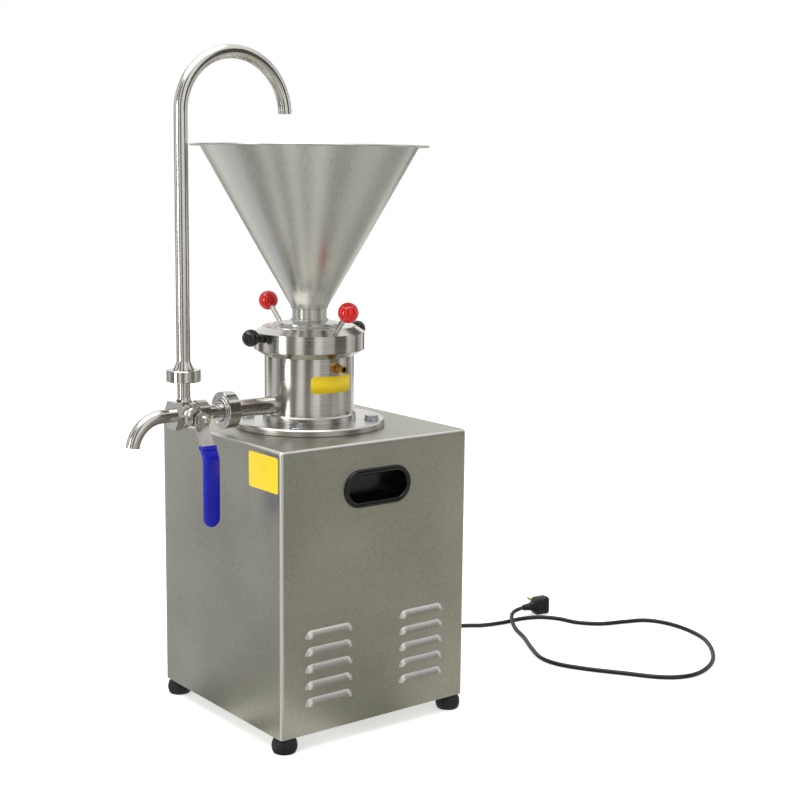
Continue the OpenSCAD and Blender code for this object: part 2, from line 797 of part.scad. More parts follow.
// Mill head
module base_flange() {
  r = flange_d / 2;
  lip_r = body_r + base_lip;
  color("silver") difference() {
    at_mill() rotate_extrude() polygon([
      [shaft_r + 4, z_top], [r - 1, z_top], [r, z_top + 1], [r, z_seat - 2], [r - 2, z_seat],
      [lip_r, z_seat], [lip_r, z_seat + base_lip_h - 2], [lip_r - 2, z_seat + base_lip_h],
      [body_r, z_seat + base_lip_h], [body_r, z_seat], [shaft_r + 4, z_seat]]);
    for (i = [0:3]) at_plan(45 + 90 * i, bolt_reach, z_top - over)
      cylinder(d = bolt_d + 1, h = flange_t + 2 * over);
    at_mill(outlet_z) to_front() cylinder(r = outlet_r + play, h = body_d);
  }
}
module flange_bolts() {
  grip = flange_t + sheet_t + motor_flange_t;
  color("silver") for (i = [0:3]) at_plan(45 + 90 * i, bolt_reach, z_seat) {
    hex(bolt_af, bolt_head_h);
    translate([0, 0, -grip - bolt_nut_h]) {
      hex(bolt_af, bolt_nut_h);
      translate([0, 0, -bolt_nut_h / 2]) cylinder(d = bolt_d, h = grip + 1.5 * bolt_nut_h);
    }
  }
}
module mill_body() {
  groove_z = lock_z - (ring_r - collar_r) * tan(lock_tilt);
  jacket_low = z_seat + 14;
  jacket_high = z_shoulder - 7;
  color("silver") difference() {
    at_mill() rotate_extrude() polygon([
      [shaft_r + shaft_gap, z_seat], [body_r, z_seat], [body_r, z_shoulder], [collar_r, z_shoulder],
      [collar_r, groove_z - groove_w / 2], [collar_r - groove_depth, groove_z - groove_w / 2],
      [collar_r - groove_depth, groove_z + groove_w / 2], [collar_r, groove_z + groove_w / 2],
      [collar_r, z_collar], [chamber_r, z_collar], [chamber_r, z_seat + chamber_floor],
      [shaft_r + shaft_gap, z_seat + chamber_floor]]);
    at_mill(jacket_low) tube(jacket_out, jacket_in, jacket_high - jacket_low);
    at_mill(outlet_z) to_front() cylinder(r = outlet_r, h = body_d);
    at_plan(90, jacket_in, z_seat + coolant_high) to_right() cylinder(r = barb_r, h = body_r);
    at_plan(270, jacket_in, z_seat + coolant_low) to_right() cylinder(r = barb_r, h = body_r);
    for (a = guide_angles) at_plan(a, guide_reach, z_collar - guide_sunk)
      cylinder(d = guide_d, h = 2 * guide_sunk);
  }
}
module barb() {
  reach = body_r - jacket_out;
  to_right() difference() {
    union() {
      translate([0, 0, -reach]) cylinder(r = barb_r, h = reach + barb_l);
      hex(barb_hex_af, barb_hex_l);
    }
    translate([0, 0, -reach - over]) cylinder(r = barb_bore_r, h = reach + barb_l + 2 * over);
  }
}
module coolant_outlet_barb() {
  color("goldenrod") at_plan(90, body_r, z_seat + coolant_high) barb();
}
module coolant_inlet_barb() {
  color("goldenrod") at_plan(270, body_r, z_seat + coolant_low) barb();
}
module seal_seat() {
  color("dimgray") at_mill(z_seat + chamber_floor) tube(shaft_r + seal_w, shaft_r + shaft_gap, seal_h);
}
module seal_head() {
  low = z_seat + chamber_floor + seal_h + play;
  color("gray") at_mill(low) tube(shaft_r + seal_w - 2, shaft_r, z_rotor - low);
}

// Grinding set: cuts between the teeth follow the cone
function rotor_at(z) = rotor_r - (rotor_r - rotor_top_r) * (z - z_rotor) / rotor_h;
module tooth_cuts(count, from, to, skew) {
  mid = (from + to) / 2;
  for (i = [0:count - 1]) at_mill(mid) rotate([0, 0, 360 * i / count]) translate([rotor_at(mid), 0, 0])
    rotate([0, -rotor_slope, 0]) rotate([skew, 0, 0])
    cube([2 * cut_depth, cut_w, to - from], center = true);
}
module grinding_rotor() {
  color("gray") difference() {
    at_mill() rotate_extrude() polygon([
      [rotor_bore_r, z_rotor], [rotor_r, z_rotor],
      [rotor_top_r, z_rotor + rotor_h], [rotor_bore_r, z_rotor + rotor_h]]);
    tooth_cuts(fine_teeth, z_rotor - cut_w, z_teeth, teeth_lead);
    tooth_cuts(coarse_teeth, z_teeth + 1, z_rotor + rotor_h + cut_w, teeth_lead);
  }
}
module rotor_nut() {
  color("silver") at_mill(z_rotor + rotor_h) difference() {
    union() {
      hex(rotor_nut_af, rotor_nut_h);
      rotate_extrude() polygon(concat(
        [[0, 0], [rotor_nut_h, 0]], arc(0, rotor_nut_h, rotor_nut_h, 0, 90, 6)));
    }
    translate([0, 0, -over]) cylinder(r = nut_thread_r, h = 1.4 * rotor_nut_h + over);
  }
}
module guide_pins() {
  color("silver") for (a = guide_angles) at_plan(a, guide_reach, z_collar - guide_sunk)
    cylinder(d = guide_d, h = guide_sunk + carrier_step + guide_up);
}
module stator_carrier() {
  color("silver") difference() {
    at_mill() rotate_extrude() polygon([
      [feed_r, z_carrier], [thread_r - play, z_carrier], [thread_r - play, z_ring - recess_h + play],
      [recess_r - rim_groove, z_ring - recess_h + play], [recess_r - rim_groove, carrier_top - 0.6],
      [recess_r - rim_groove - 0.6, carrier_top], [feed_r, carrier_top]]);
    for (a = guide_angles) at_plan(a, guide_reach, z_carrier - over)
      cylinder(d = guide_d + 2 * play, h = guide_up + 2 * over);
  }
}
module grinding_stator() {
  low = z_rotor + stator_lift;
  color("gray") difference() {
    at_mill() rotate_extrude() polygon([
      [rotor_at(low) + grind_gap, low], [chamber_r - play, low], [chamber_r - play, z_carrier],
      [rotor_top_r + grind_gap, z_carrier], [rotor_top_r + grind_gap, z_rotor + rotor_h]]);
    tooth_cuts(fine_teeth, low - cut_w, z_teeth, -teeth_lead);
    tooth_cuts(coarse_teeth, z_teeth + 1, z_rotor + rotor_h + cut_w, -teeth_lead);
  }
}

// Adjusting ring, its levers and its locking knobs
module at_lever(angle) {
  at_plan(angle, lever_seat_r, lever_seat_z) rotate([0, 90 - lever_tilt, 0]) children();
}
module at_lock(i) {
  at_plan(lock_angles[i], ring_r, lock_z) rotate([0, 90 - lock_tilt, 0]) children();
}
module adjusting_ring() {
  low = z_shoulder + play;
  color("silver") difference() {
    at_mill() rotate_extrude() polygon([
      [collar_r + play, low], [ring_foot_r, low],
      [ring_r, low + lower_chamfer], [ring_r, z_ring - upper_chamfer],
      [ring_top_r, z_ring], [recess_r, z_ring],
      [recess_r, z_ring - recess_h], [thread_r, z_ring - recess_h],
      [thread_r, z_collar + 1], [collar_r + play, z_collar + 1]]);
    for (a = lever_angles) at_lever(a) translate([0, 0, -lever_sunk])
      cylinder(d = lever_rod_d, h = 2 * lever_l);
    for (i = [0, 1]) at_lock(i)
      cylinder(r = lock_stud_d / 2 + running_gap, h = 3 * (ring_r - collar_r), center = true);
  }
}
module lever_rods() {
  color("silver") for (a = lever_angles) at_lever(a) translate([0, 0, -lever_sunk])
    cylinder(d = lever_rod_d, h = lever_sunk + lever_l);
}
module lever_knobs() {
  color("red") for (a = lever_angles) at_lever(a) difference() {
    translate([0, 0, lever_l]) sphere(d = lever_ball_d);
    cylinder(d = lever_rod_d, h = lever_l);
  }
}
module lock_knob(i) {
  through = (ring_r - collar_r) / cos(lock_tilt);
  color("black") at_lock(i) {
    rotate_extrude() polygon([
      [0, -through - 1.5], [lock_tip_d / 2, -through - 1.5], [lock_tip_d / 2, -through + 2],
      [lock_stud_d / 2, -through + 4], [lock_stud_d / 2, 1.5], [lock_neck_d / 2, 1.5],
      [lock_neck_d / 2 - 1, lock_ball_l], [0, lock_ball_l]]);
    translate([0, 0, lock_ball_l]) sphere(d = lock_ball_d);
  }
}
module front_lock_knob() {
  lock_knob(0);
}
module rear_lock_knob() {
  lock_knob(1);
}

// Hopper: a cone on a short neck with a flange
module hopper_gasket() {
  color("white") at_mill(carrier_top) tube(neck_flange_r - 1, feed_r, gasket_t);
}
module hopper() {
  neck_r = neck_d / 2;
  color("silver") at_mill() rotate_extrude() polygon([
    [feed_r, z_hopper], [neck_flange_r - 0.5, z_hopper], [neck_flange_r, z_hopper + 0.5],
    [neck_flange_r, z_hopper + neck_flange_h - 3], [neck_r + 3, z_hopper + neck_flange_h],
    [neck_r, z_hopper + neck_flange_h + 2], [neck_r, z_neck], [neck_r + 1.5, z_neck + 1.5],
    [mouth_r, z_mouth], [mouth_r + rim_w, z_mouth], [mouth_r + rim_w, z_mouth + hopper_t],
    [mouth_r - hopper_t, z_mouth + hopper_t], [neck_r - hopper_t + 0.5, z_neck + 2], [feed_r, z_neck]]);
}

// Outlet pipe and its union
module outlet_pipe() {
  ferrule = union_start + outlet_ferrule_l;
  color("silver") at_mill(outlet_z) to_front() rotate_extrude() polygon([
    [outlet_r - pipe_t, chamber_r + 1], [outlet_r, chamber_r + 1], [outlet_r, union_start - 4],
    [outlet_ferrule_r, union_start], [outlet_ferrule_r, ferrule], [outlet_r - pipe_t, ferrule]]);
}
module outlet_gasket() {
  color("white") at_mill(outlet_z) to_front() translate([0, 0, outlet_seal_y])
    tube(outlet_ferrule_r - 1, outlet_r - pipe_t, seal_t);
}
module outlet_union_nut() {
  from = union_start + 1;
  to = from + outlet_nut_l;
  r = outlet_nut_d / 2;
  color("silver") at_mill(outlet_z) to_front() rotate_extrude() polygon([
    [outlet_ferrule_r, from], [r - 1, from], [r, from + 1], [r, to - 1], [r - 1, to],
    [liner_ring_r + 1, to], [liner_ring_r + 1, to - outlet_nut_wall],
    [outlet_ferrule_r, to - outlet_nut_wall]]);
}
module outlet_liner() {
  from = outlet_seal_y + seal_t;
  shelf = union_start + 1 + outlet_nut_l - outlet_nut_wall;
  ring_end = shelf + outlet_nut_wall + 2;
  tube_end = valve_reach - inlet_l + socket_l;
  color("silver") at_mill(outlet_z) to_front() rotate_extrude() polygon([
    [tube_r - pipe_t, from], [outlet_ferrule_r - 1, from], [outlet_ferrule_r - 1, shelf],
    [liner_ring_r, shelf], [liner_ring_r, ring_end], [tube_r, ring_end],
    [tube_r, tube_end], [tube_r - pipe_t, tube_end]]);
}

// Three-way valve: the ball's ports face the mill, the return pipe and the floor while the lever hangs
module valve_body() {
  color("silver") at_valve() difference() {
    union() {
      sphere(r = valve_r);
      to_back() rotate_extrude() polygon([
        [0, 0], [inlet_r - 3, 0], [inlet_r - 3, 14], [inlet_r, 17], [inlet_r, inlet_l - 2],
        [inlet_r - 2, inlet_l], [0, inlet_l]]);
      to_front() rotate_extrude() polygon([
        [0, 0], [cap_r - 4, 0], [cap_r - 2.5, 2], [cap_r - 2.5, cap_from - 1.5],
        [cap_r - 4, cap_from], [0, cap_from]]);
      rotate_extrude() polygon(concat(
        [[0, 0], [neck_pipe_r + flare, 0]],
        arc(neck_pipe_r + flare, flare_z + flare, flare, 270, 180, 8),
        [[neck_pipe_r, nut_z], [return_ferrule_r, nut_z], [return_ferrule_r, nut_z + ferrule_h],
         [0, nut_z + ferrule_h]]));
      to_right() rotate_extrude() polygon([
        [0, 0], [bonnet_r, 0], [bonnet_r, bonnet_l - 8], [bonnet_r - 2, bonnet_l - 6],
        [bonnet_r - 2, bonnet_l], [0, bonnet_l]]);
    }
    to_front() translate([0, 0, cap_from]) cylinder(r = cap_r + play, h = 2 * valve_r);
    sphere(r = ball_r + play);
    to_front() cylinder(r = cavity_r, h = valve_r);
    to_back() cylinder(r = port_r, h = inlet_l + over);
    to_back() translate([0, 0, inlet_l - socket_l]) cylinder(r = tube_r, h = socket_l + over);
    cylinder(r = port_r, h = nut_z + ferrule_h + over);
    to_back() cylinder(r = seat_r, h = seat_from + seat_t);
    cylinder(r = seat_r, h = seat_from + seat_t);
    to_right() cylinder(r = stem_r + running_gap, h = bonnet_l + over);
  }
}
module valve_end_nut() {
  seat_end = seat_from + seat_t;
  color("silver") at_valve() to_front() difference() {
    union() {
      translate([0, 0, cap_from + 1.5]) hex(end_nut_af, cap_l - 1.5);
      translate([0, 0, cap_from]) cylinder(r = cap_r - 4, h = 2);
    }
    translate([0, 0, cap_from - over]) cylinder(r = cavity_r, h = seat_end - cap_from + over);
    translate([0, 0, cap_from]) cylinder(r = port_r, h = cap_l + over);
    translate([0, 0, cap_to - socket_l]) cylinder(r = pipe_r, h = socket_l + over);
  }
}
module valve_seats() {
  color("white") at_valve() {
    to_front() translate([0, 0, seat_from]) tube(cavity_r, port_r, seat_t);
    to_back() translate([0, 0, seat_from]) tube(seat_r, port_r, seat_t);
    translate([0, 0, seat_from]) tube(seat_r, port_r, seat_t);
  }
}
module packing_nut() {
  color("silver") at_valve() to_right() translate([0, 0, bonnet_l]) difference() {
    hex(packing_af, packing_t);
    translate([0, 0, -over]) cylinder(r = stem_r + running_gap, h = packing_t + 2 * over);
  }
}
module valve_ball() {
  color("silver") at_valve() difference() {
    sphere(r = ball_r);
    cylinder(r = port_r, h = 3 * ball_r, center = true);
    to_back() cylinder(r = port_r, h = 2 * ball_r);
    translate([slot_x, -tang_t / 2, -ball_r]) cube([ball_r, tang_t, 2 * ball_r]);
  }
}
module valve_stem() {
  from = ball_r + play;
  color("silver") at_valve() {
    translate([slot_x, -tang_t / 2, 1 - stem_r]) cube([from + 1 - slot_x, tang_t, 2 * stem_r - 2]);
    to_right() translate([0, 0, from])
      cylinder(r = stem_r, h = lever_x + strip_t + lever_nut_l - lever_dome - from);
  }
}
module lever_outline(w, length) {
  circle(d = w);
  translate([0, -w / 2]) square([length - w / 2, w]);
  translate([length - w / 2, 0]) circle(d = w);
}
// Side view of the strip, thickened by d on both faces: straight, set off, straight again
function strip_side(d) =
  let (
    half = strip_t / 2 + d,
    near = lever_x + strip_t / 2,
    far = near + strip_offset,
    mitre = half * tan(atan(strip_offset / strip_run) / 2),
    bend = -strip_drop,
    straight = -strip_drop - strip_run,
    tip = -handle_arm
  ) [
    [near - half, strip_w], [near + half, strip_w],
    [near + half, bend + mitre], [far + half, straight + mitre], [far + half, tip],
    [far - half, tip], [far - half, straight - mitre], [near - half, bend - mitre]
  ];
module strip_solid(d, length) {
  intersection() {
    translate([0, 2 * strip_w, 0]) to_front() linear_extrude(height = 4 * strip_w) polygon(strip_side(d));
    to_right() linear_extrude(height = 4 * lever_x) lever_outline(strip_w + 2 * d, length);
  }
}
module valve_lever() {
  color("silver") at_valve() difference() {
    strip_solid(0, handle_arm - grip_t);
    to_right() cylinder(r = stem_r, h = 2 * lever_x);
  }
}
module lever_grip() {
  color("blue") at_valve() difference() {
    intersection() {
      strip_solid(grip_t, handle_arm);
      translate([0, -2 * strip_w, -2 * handle_arm]) cube([4 * lever_x, 4 * strip_w, handle_arm + grip_l]);
    }
    strip_solid(0, handle_arm - grip_t);
  }
}
module lever_nut() {
  color("silver") at_valve() to_right() translate([0, 0, lever_x + strip_t]) difference() {
    union() {
      hex(lever_nut_af, lever_nut_l - lever_dome);
      translate([0, 0, lever_nut_l - lever_dome]) rotate_extrude()
        polygon(concat([[0, 0]], arc(0, 0, stem_r + lever_dome, 0, 90, 6)));
    }
    translate([0, 0, -over]) cylinder(r = stem_r, h = lever_nut_l - lever_dome + over);
  }
}

// Spout and return pipe
module pipe_ring() {
  difference() {
    circle(r = pipe_r);
    circle(r = bore_r);
  }
}
module at_spout_bend() {
  translate([0, -cap_to - spout_run, -spout_bend]) rotate([0, -90, 0]) mirror([0, 1, 0]) children();
}
module discharge_spout() {
  color("silver") at_valve() difference() {
    union() {
      to_front() translate([0, 0, cap_to - socket_l]) tube(pipe_r, bore_r, socket_l + spout_run);
      at_spout_bend() rotate_extrude(angle = 90) translate([spout_bend, 0]) pipe_ring();
    }
    at_spout_bend() rotate([0, 0, spout_turn]) translate([0, 0, -spout_bend]) cube(2 * spout_bend);
  }
}
module return_gasket() {
  color("white") at_valve() translate([0, 0, nut_z + ferrule_h]) tube(return_ferrule_r - 1, port_r, seal_t);
}
module return_union_nut() {
  r = return_nut_d / 2;
  h = return_nut_h;
  inner = liner_collar_r + 1;
  color("silver") at_valve() translate([0, 0, nut_z]) difference() {
    rotate_extrude() polygon([
      [return_ferrule_r, 0], [r - 1, 0], [r, 1], [r, h - 1], [r - 1, h],
      [inner, h], [inner, h - nut_wall], [return_ferrule_r, h - nut_wall]]);
    for (i = [0:5]) rotate([0, 0, 60 * i]) translate([r - notch_depth, -notch_w / 2, -over])
      cube([notch_w, notch_w, h + 2 * over]);
  }
}
module at_arch() {
  translate([0, arch_r, arch_z - outlet_z]) rotate([0, -90, 0]) rotate([0, 0, 270]) children();
}
module return_pipe() {
  from = nut_z + ferrule_h + seal_t + play;
  shelf = from + liner_t;
  collar = nut_z + return_nut_h;
  rise = arch_z - outlet_z;
  color("silver") at_valve() difference() {
    union() {
      rotate_extrude() polygon([
        [bore_r, from], [return_ferrule_r - 1, from], [return_ferrule_r - 1, shelf],
        [liner_collar_r, shelf], [liner_collar_r, collar + 1], [pipe_r, collar + liner_collar_h],
        [pipe_r, rise], [bore_r, rise]]);
      at_arch() rotate_extrude(angle = 180) translate([arch_r, 0]) pipe_ring();
    }
    at_arch() rotate([0, 0, arch_turn]) translate([arch_r / 2, 0, -arch_r])
      cube([arch_r, arch_r, 2 * arch_r]);
  }
}

cabinet_shell();
back_panel();
panel_screws();
base_plate();
rubber_feet();
foot_screws();
right_handle();
left_handle();
switch_body();
switch_rocker();
cable_gland();
power_cord();
power_plug();
plug_pins();
run_capacitor();
motor_flange();
motor_housing();
motor_stator();
motor_end_cover();
motor_fan_cover();
motor_bearings();
drive_shaft();
motor_rotor();
motor_fan();
base_flange();
flange_bolts();
mill_body();
coolant_outlet_barb();
coolant_inlet_barb();
seal_seat();
seal_head();
grinding_rotor();
rotor_nut();
guide_pins();
adjusting_ring();
lever_rods();
lever_knobs();
front_lock_knob();
rear_lock_knob();
stator_carrier();
grinding_stator();
hopper_gasket();
hopper();
outlet_pipe();
outlet_gasket();
outlet_union_nut();
outlet_liner();
valve_body();
valve_end_nut();
valve_seats();
packing_nut();
valve_ball();
valve_stem();
valve_lever();
lever_grip();
lever_nut();
discharge_spout();
return_gasket();
return_union_nut();
return_pipe();
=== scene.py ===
import math

import bmesh
import bpy
from mathutils import Matrix, Vector


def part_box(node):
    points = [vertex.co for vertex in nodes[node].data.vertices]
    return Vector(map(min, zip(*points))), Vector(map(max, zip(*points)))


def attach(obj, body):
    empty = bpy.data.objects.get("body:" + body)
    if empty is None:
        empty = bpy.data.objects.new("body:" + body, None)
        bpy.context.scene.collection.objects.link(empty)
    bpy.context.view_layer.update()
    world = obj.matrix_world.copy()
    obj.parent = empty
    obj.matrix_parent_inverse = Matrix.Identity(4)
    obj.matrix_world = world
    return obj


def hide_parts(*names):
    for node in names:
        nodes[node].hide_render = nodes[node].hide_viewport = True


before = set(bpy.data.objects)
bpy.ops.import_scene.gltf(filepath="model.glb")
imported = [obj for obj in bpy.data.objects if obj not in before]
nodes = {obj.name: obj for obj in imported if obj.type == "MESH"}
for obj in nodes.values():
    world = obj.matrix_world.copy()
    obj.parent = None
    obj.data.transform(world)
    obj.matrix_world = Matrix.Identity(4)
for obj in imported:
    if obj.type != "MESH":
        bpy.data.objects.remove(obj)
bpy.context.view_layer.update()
scene = bpy.context.scene
scene.view_settings.view_transform = "Standard"
mm = 0.001
perMetre = 1000
right, back, up = Vector((1, 0, 0)), Vector((0, 1, 0)), Vector((0, 0, 1))
print("frame loaded:", len(nodes), "nodes")


# where the main forms stand, read from the frame
def corners(node):
    return [Vector(c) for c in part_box(node)]


def middle(node):
    low, high = corners(node)
    return (low + high) / 2


cabinetFront = corners("cabinet_shell")[0].y
cabinetMid = middle("cabinet_shell")
millAxis = middle("hopper")
valveMid = Vector((0, middle("return_gasket").y, middle("outlet_pipe").z))


# the camera stands where the photograph was taken from: degrees, mm of lens, m from the cabinet
shot = {"yaw": 52.20, "pitch": 9.06, "roll": 0.65, "lens": 66.9, "sensor": 36, "clipEnd": 50,
        "place": (1.7745, -1.2149, 0.8008)}


def addCamera():
    yaw, pitch, roll = (math.radians(shot[k]) for k in ("yaw", "pitch", "roll"))
    ahead = Vector((
        -math.sin(yaw) * math.cos(pitch), math.cos(yaw) * math.cos(pitch), -math.sin(pitch)))
    level = Vector((math.cos(yaw), math.sin(yaw), 0))
    upright = level.cross(ahead)
    side = math.cos(roll) * level + math.sin(roll) * upright
    top = math.cos(roll) * upright - math.sin(roll) * level
    data = bpy.data.cameras.new("camera")
    data.lens = shot["lens"]
    data.sensor_width = shot["sensor"]
    data.clip_end = shot["clipEnd"]
    camera = bpy.data.objects.new("camera", data)
    turn = Matrix((side, top, -ahead)).transposed().to_4x4()
    place = Vector(shot["place"]) + back * cabinetMid.y
    camera.matrix_world = Matrix.Translation(place) @ turn
    scene.collection.objects.link(camera)
    scene.camera = camera


addCamera()
print("camera placed")


# colours are written as sRGB hex and turned to linear here
def hexToLinear(code):
    def one(c):
        return c / 12.92 if c <= 0.04045 else ((c + 0.055) / 1.055) ** 2.4

    return tuple(one(int(code[i:i + 2], 16) / 255) for i in (1, 3, 5)) + (1.0,)


# adds one node with its settings, and sets or links its inputs
def addNode(tree, kind, inputs=None, **settings):
    made = tree.nodes.new(kind)
    for key, value in settings.items():
        setattr(made, key, value)
    for key, value in (inputs or {}).items():
        if isinstance(value, bpy.types.NodeSocket):
            tree.links.new(value, made.inputs[key])
        else:
            made.inputs[key].default_value = value
    return made


# grain is the marks' size along x, y and z, rings the gap between turned rings, cloud the size of
# the broad patches and bump the marks' height, all in mm; real grit and tool marks are finer than
# a pixel, so grain and rings are drawn coarse enough to show
finishes = {
    # 304 stainless sheet, ground with fine grit: a soft grey sheen with a fine restless speckle;
    #     the bent edges and the pressed louvres get a painted highlight, a paler tone for the
    #     lamps' reflection
    "groundStainlessSheet": dict(
        light="#bab9ad", dark="#98978c", metallic=1.0, rough=(0.34, 0.44), grain=(2.6, 2.6, 2.6),
        cloud=220, bump=0.012, bends="#dddbd6"),
    # 304 stainless sheet rolled to a cone and brushed by hand: paler, with faint streaks down it
    "brushedStainlessCone": dict(
        light="#d2d2cd", dark="#c4c4bf", metallic=1.0, rough=(0.27, 0.33), grain=(4.0, 4.0, 34.0),
        cloud=150, bump=0.004),
    # 304 stainless bar turned on a lathe and buffed: bright, with rings round the axis
    "turnedStainless": dict(
        light="#d6d4cf", dark="#c4c2bc", metallic=1.0, rough=(0.14, 0.20), rings=1.6, axis="z",
        cloud=70, bump=0.010),
    # 304 stainless plate faced on a lathe and left as cut: a softer grey with broad rings
    "facedStainless": dict(
        light="#d2d0cb", dark="#b8b6b0", metallic=1.0, rough=(0.24, 0.32), rings=2.4, axis="z",
        cloud=90, bump=0.012),
    # the same bar turned about the outlet's axis
    "turnedStainlessAlong": dict(
        light="#d6d4cf", dark="#c4c2bc", metallic=1.0, rough=(0.14, 0.20), rings=1.6, axis="y",
        cloud=70, bump=0.010),
    # drawn stainless tube, polished: near mirror with slight cloudiness
    "polishedTube": dict(
        light="#d2d0ca", dark="#c9c7c1", metallic=1.0, rough=(0.17, 0.20), grain=(14, 14, 60),
        cloud=90, bump=0.0),
    # investment-cast stainless, tumbled: bright but slightly rippled
    "castStainless": dict(
        light="#cfccc6", dark="#b5b2ac", metallic=1.0, rough=(0.14, 0.26), grain=(2.2, 2.2, 2.2),
        cloud=30, bump=0.030),
    # hardened stainless, ground: grey and even
    "groundTeeth": dict(
        light="#a8a8a6", dark="#929290", metallic=1.0, rough=(0.24, 0.34), grain=(1.6, 1.6, 1.6),
        cloud=40, bump=0.010),
    # zinc-plated steel screws: bluish grey
    "zincPlatedSteel": dict(
        light="#b9bcc0", dark="#a1a4a9", metallic=1.0, rough=(0.22, 0.34), grain=(1.5, 1.5, 1.5),
        cloud=20, bump=0.010),
    # turned brass hose ends: warm yellow with darker tarnish
    "turnedBrass": dict(
        light="#c9a14e", dark="#9c7530", metallic=1.0, rough=(0.16, 0.30), grain=(2.0, 2.0, 2.0),
        cloud=18, bump=0.010),
    # phenolic ball knobs, moulded and polished: deep red with sharp highlights
    "polishedPhenolicRed": dict(
        light="#e00a0a", dark="#cc0707", metallic=0.0, rough=(0.08, 0.12), grain=(3.0, 3.0, 3.0),
        cloud=24, bump=0.004, ior=1.6),
    # phenolic knobs in black: the same polish
    "polishedPhenolicBlack": dict(
        light="#141415", dark="#0a0a0b", metallic=0.0, rough=(0.14, 0.24), grain=(3.0, 3.0, 3.0),
        cloud=24, bump=0.004, ior=1.6),
    # dip-moulded soft vinyl: strong blue with a soft shine
    "dippedVinylBlue": dict(
        light="#060fae", dark="#040b9e", metallic=0.0, rough=(0.24, 0.30), grain=(9.0, 9.0, 9.0),
        cloud=60, bump=0.004, ior=1.46),
    # injection-moulded ABS with a light spark texture: black with a dull sheen
    "sparkedAbsBlack": dict(
        light="#121213", dark="#0a0a0b", metallic=0.0, rough=(0.34, 0.48), grain=(1.6, 1.6, 1.6),
        cloud=40, bump=0.035, ior=1.53),
    # injection-moulded ABS from a polished mould: deep black with clear highlights
    "glossyAbsBlack": dict(
        light="#0b0b0c", dark="#060607", metallic=0.0, rough=(0.20, 0.28), grain=(6.0, 6.0, 6.0),
        cloud=40, bump=0.004, ior=1.46),
    # moulded rubber feet: dusty black
    "mouldedRubber": dict(
        light="#101010", dark="#070707", metallic=0.0, rough=(0.55, 0.75), grain=(2.2, 2.2, 2.2),
        cloud=16, bump=0.04, ior=1.52),
    # extruded PVC lead: black with a soft shine
    "extrudedPvc": dict(
        light="#131314", dark="#0b0b0c", metallic=0.0, rough=(0.32, 0.46), grain=(3.0, 3.0, 3.0),
        cloud=60, bump=0.012, ior=1.53),
    # PTFE and white nitrile seals: plain white
    "whiteSeal": dict(
        light="#ecebe6", dark="#dedcd6", metallic=0.0, rough=(0.40, 0.55), grain=(3.0, 3.0, 3.0),
        cloud=20, bump=0.01, ior=1.38),
    # plain vinyl sticker: warm yellow, slightly satin
    "plainYellowVinyl": dict(
        light="#ffe014", dark="#f7d40a", metallic=0.0, rough=(0.34, 0.44), grain=(3.0, 3.0, 3.0),
        cloud=30, bump=0.006, ior=1.5),
    # cast motor frame with a sprayed machine paint: blue grey with orange-peel
    "sprayedMachinePaint": dict(
        light="#5d6670", dark="#4d555f", metallic=0.0, rough=(0.38, 0.50), grain=(2.4, 2.4, 2.4),
        cloud=60, bump=0.05, ior=1.5),
    # varnished electrical laminations: brown grey with sheet lines
    "varnishedLaminations": dict(
        light="#6b5a48", dark="#4c4035", metallic=0.3, rough=(0.40, 0.55), rings=1.2, axis="z",
        cloud=40, bump=0.05),
    # carbon seal ring: dark grey and dull
    "pressedCarbon": dict(
        light="#3a3a3b", dark="#2a2a2b", metallic=0.0, rough=(0.45, 0.60), grain=(1.5, 1.5, 1.5),
        cloud=20, bump=0.01, ior=1.6),
    # moulded capacitor can: off-white
    "mouldedCan": dict(
        light="#dcdad2", dark="#cfccc2", metallic=0.0, rough=(0.34, 0.46), grain=(2.5, 2.5, 2.5),
        cloud=40, bump=0.01, ior=1.5),
}

# noise settings of each kind of mark, and the spans of noise that tint and gloss answer to
pattern = {
    "rings": {"Detail": 2.0, "Roughness": 0.6},
    "grain": {"Detail": 3.0, "Roughness": 0.65},
    "cloud": {"Detail": 2.0, "Roughness": 0.5},
    "tintSpan": {"From Min": 0.7, "From Max": 1.3},
    "glossSpan": {"From Min": 0.3, "From Max": 0.7},
    # the span of facing over which the painted highlight on bent edges fades in
    "bendHighlightSpan": {"From Min": 0.995, "From Max": 0.92},
    "reliefGain": 8,
}
# centre of each turning axis, the directions across it and the one along it
turning = {
    "z": ((millAxis.x, millAxis.y, 0), (1, 1, 0), "Z"),
    "y": ((0, 0, valveMid.z), (1, 0, 1), "Y"),
}


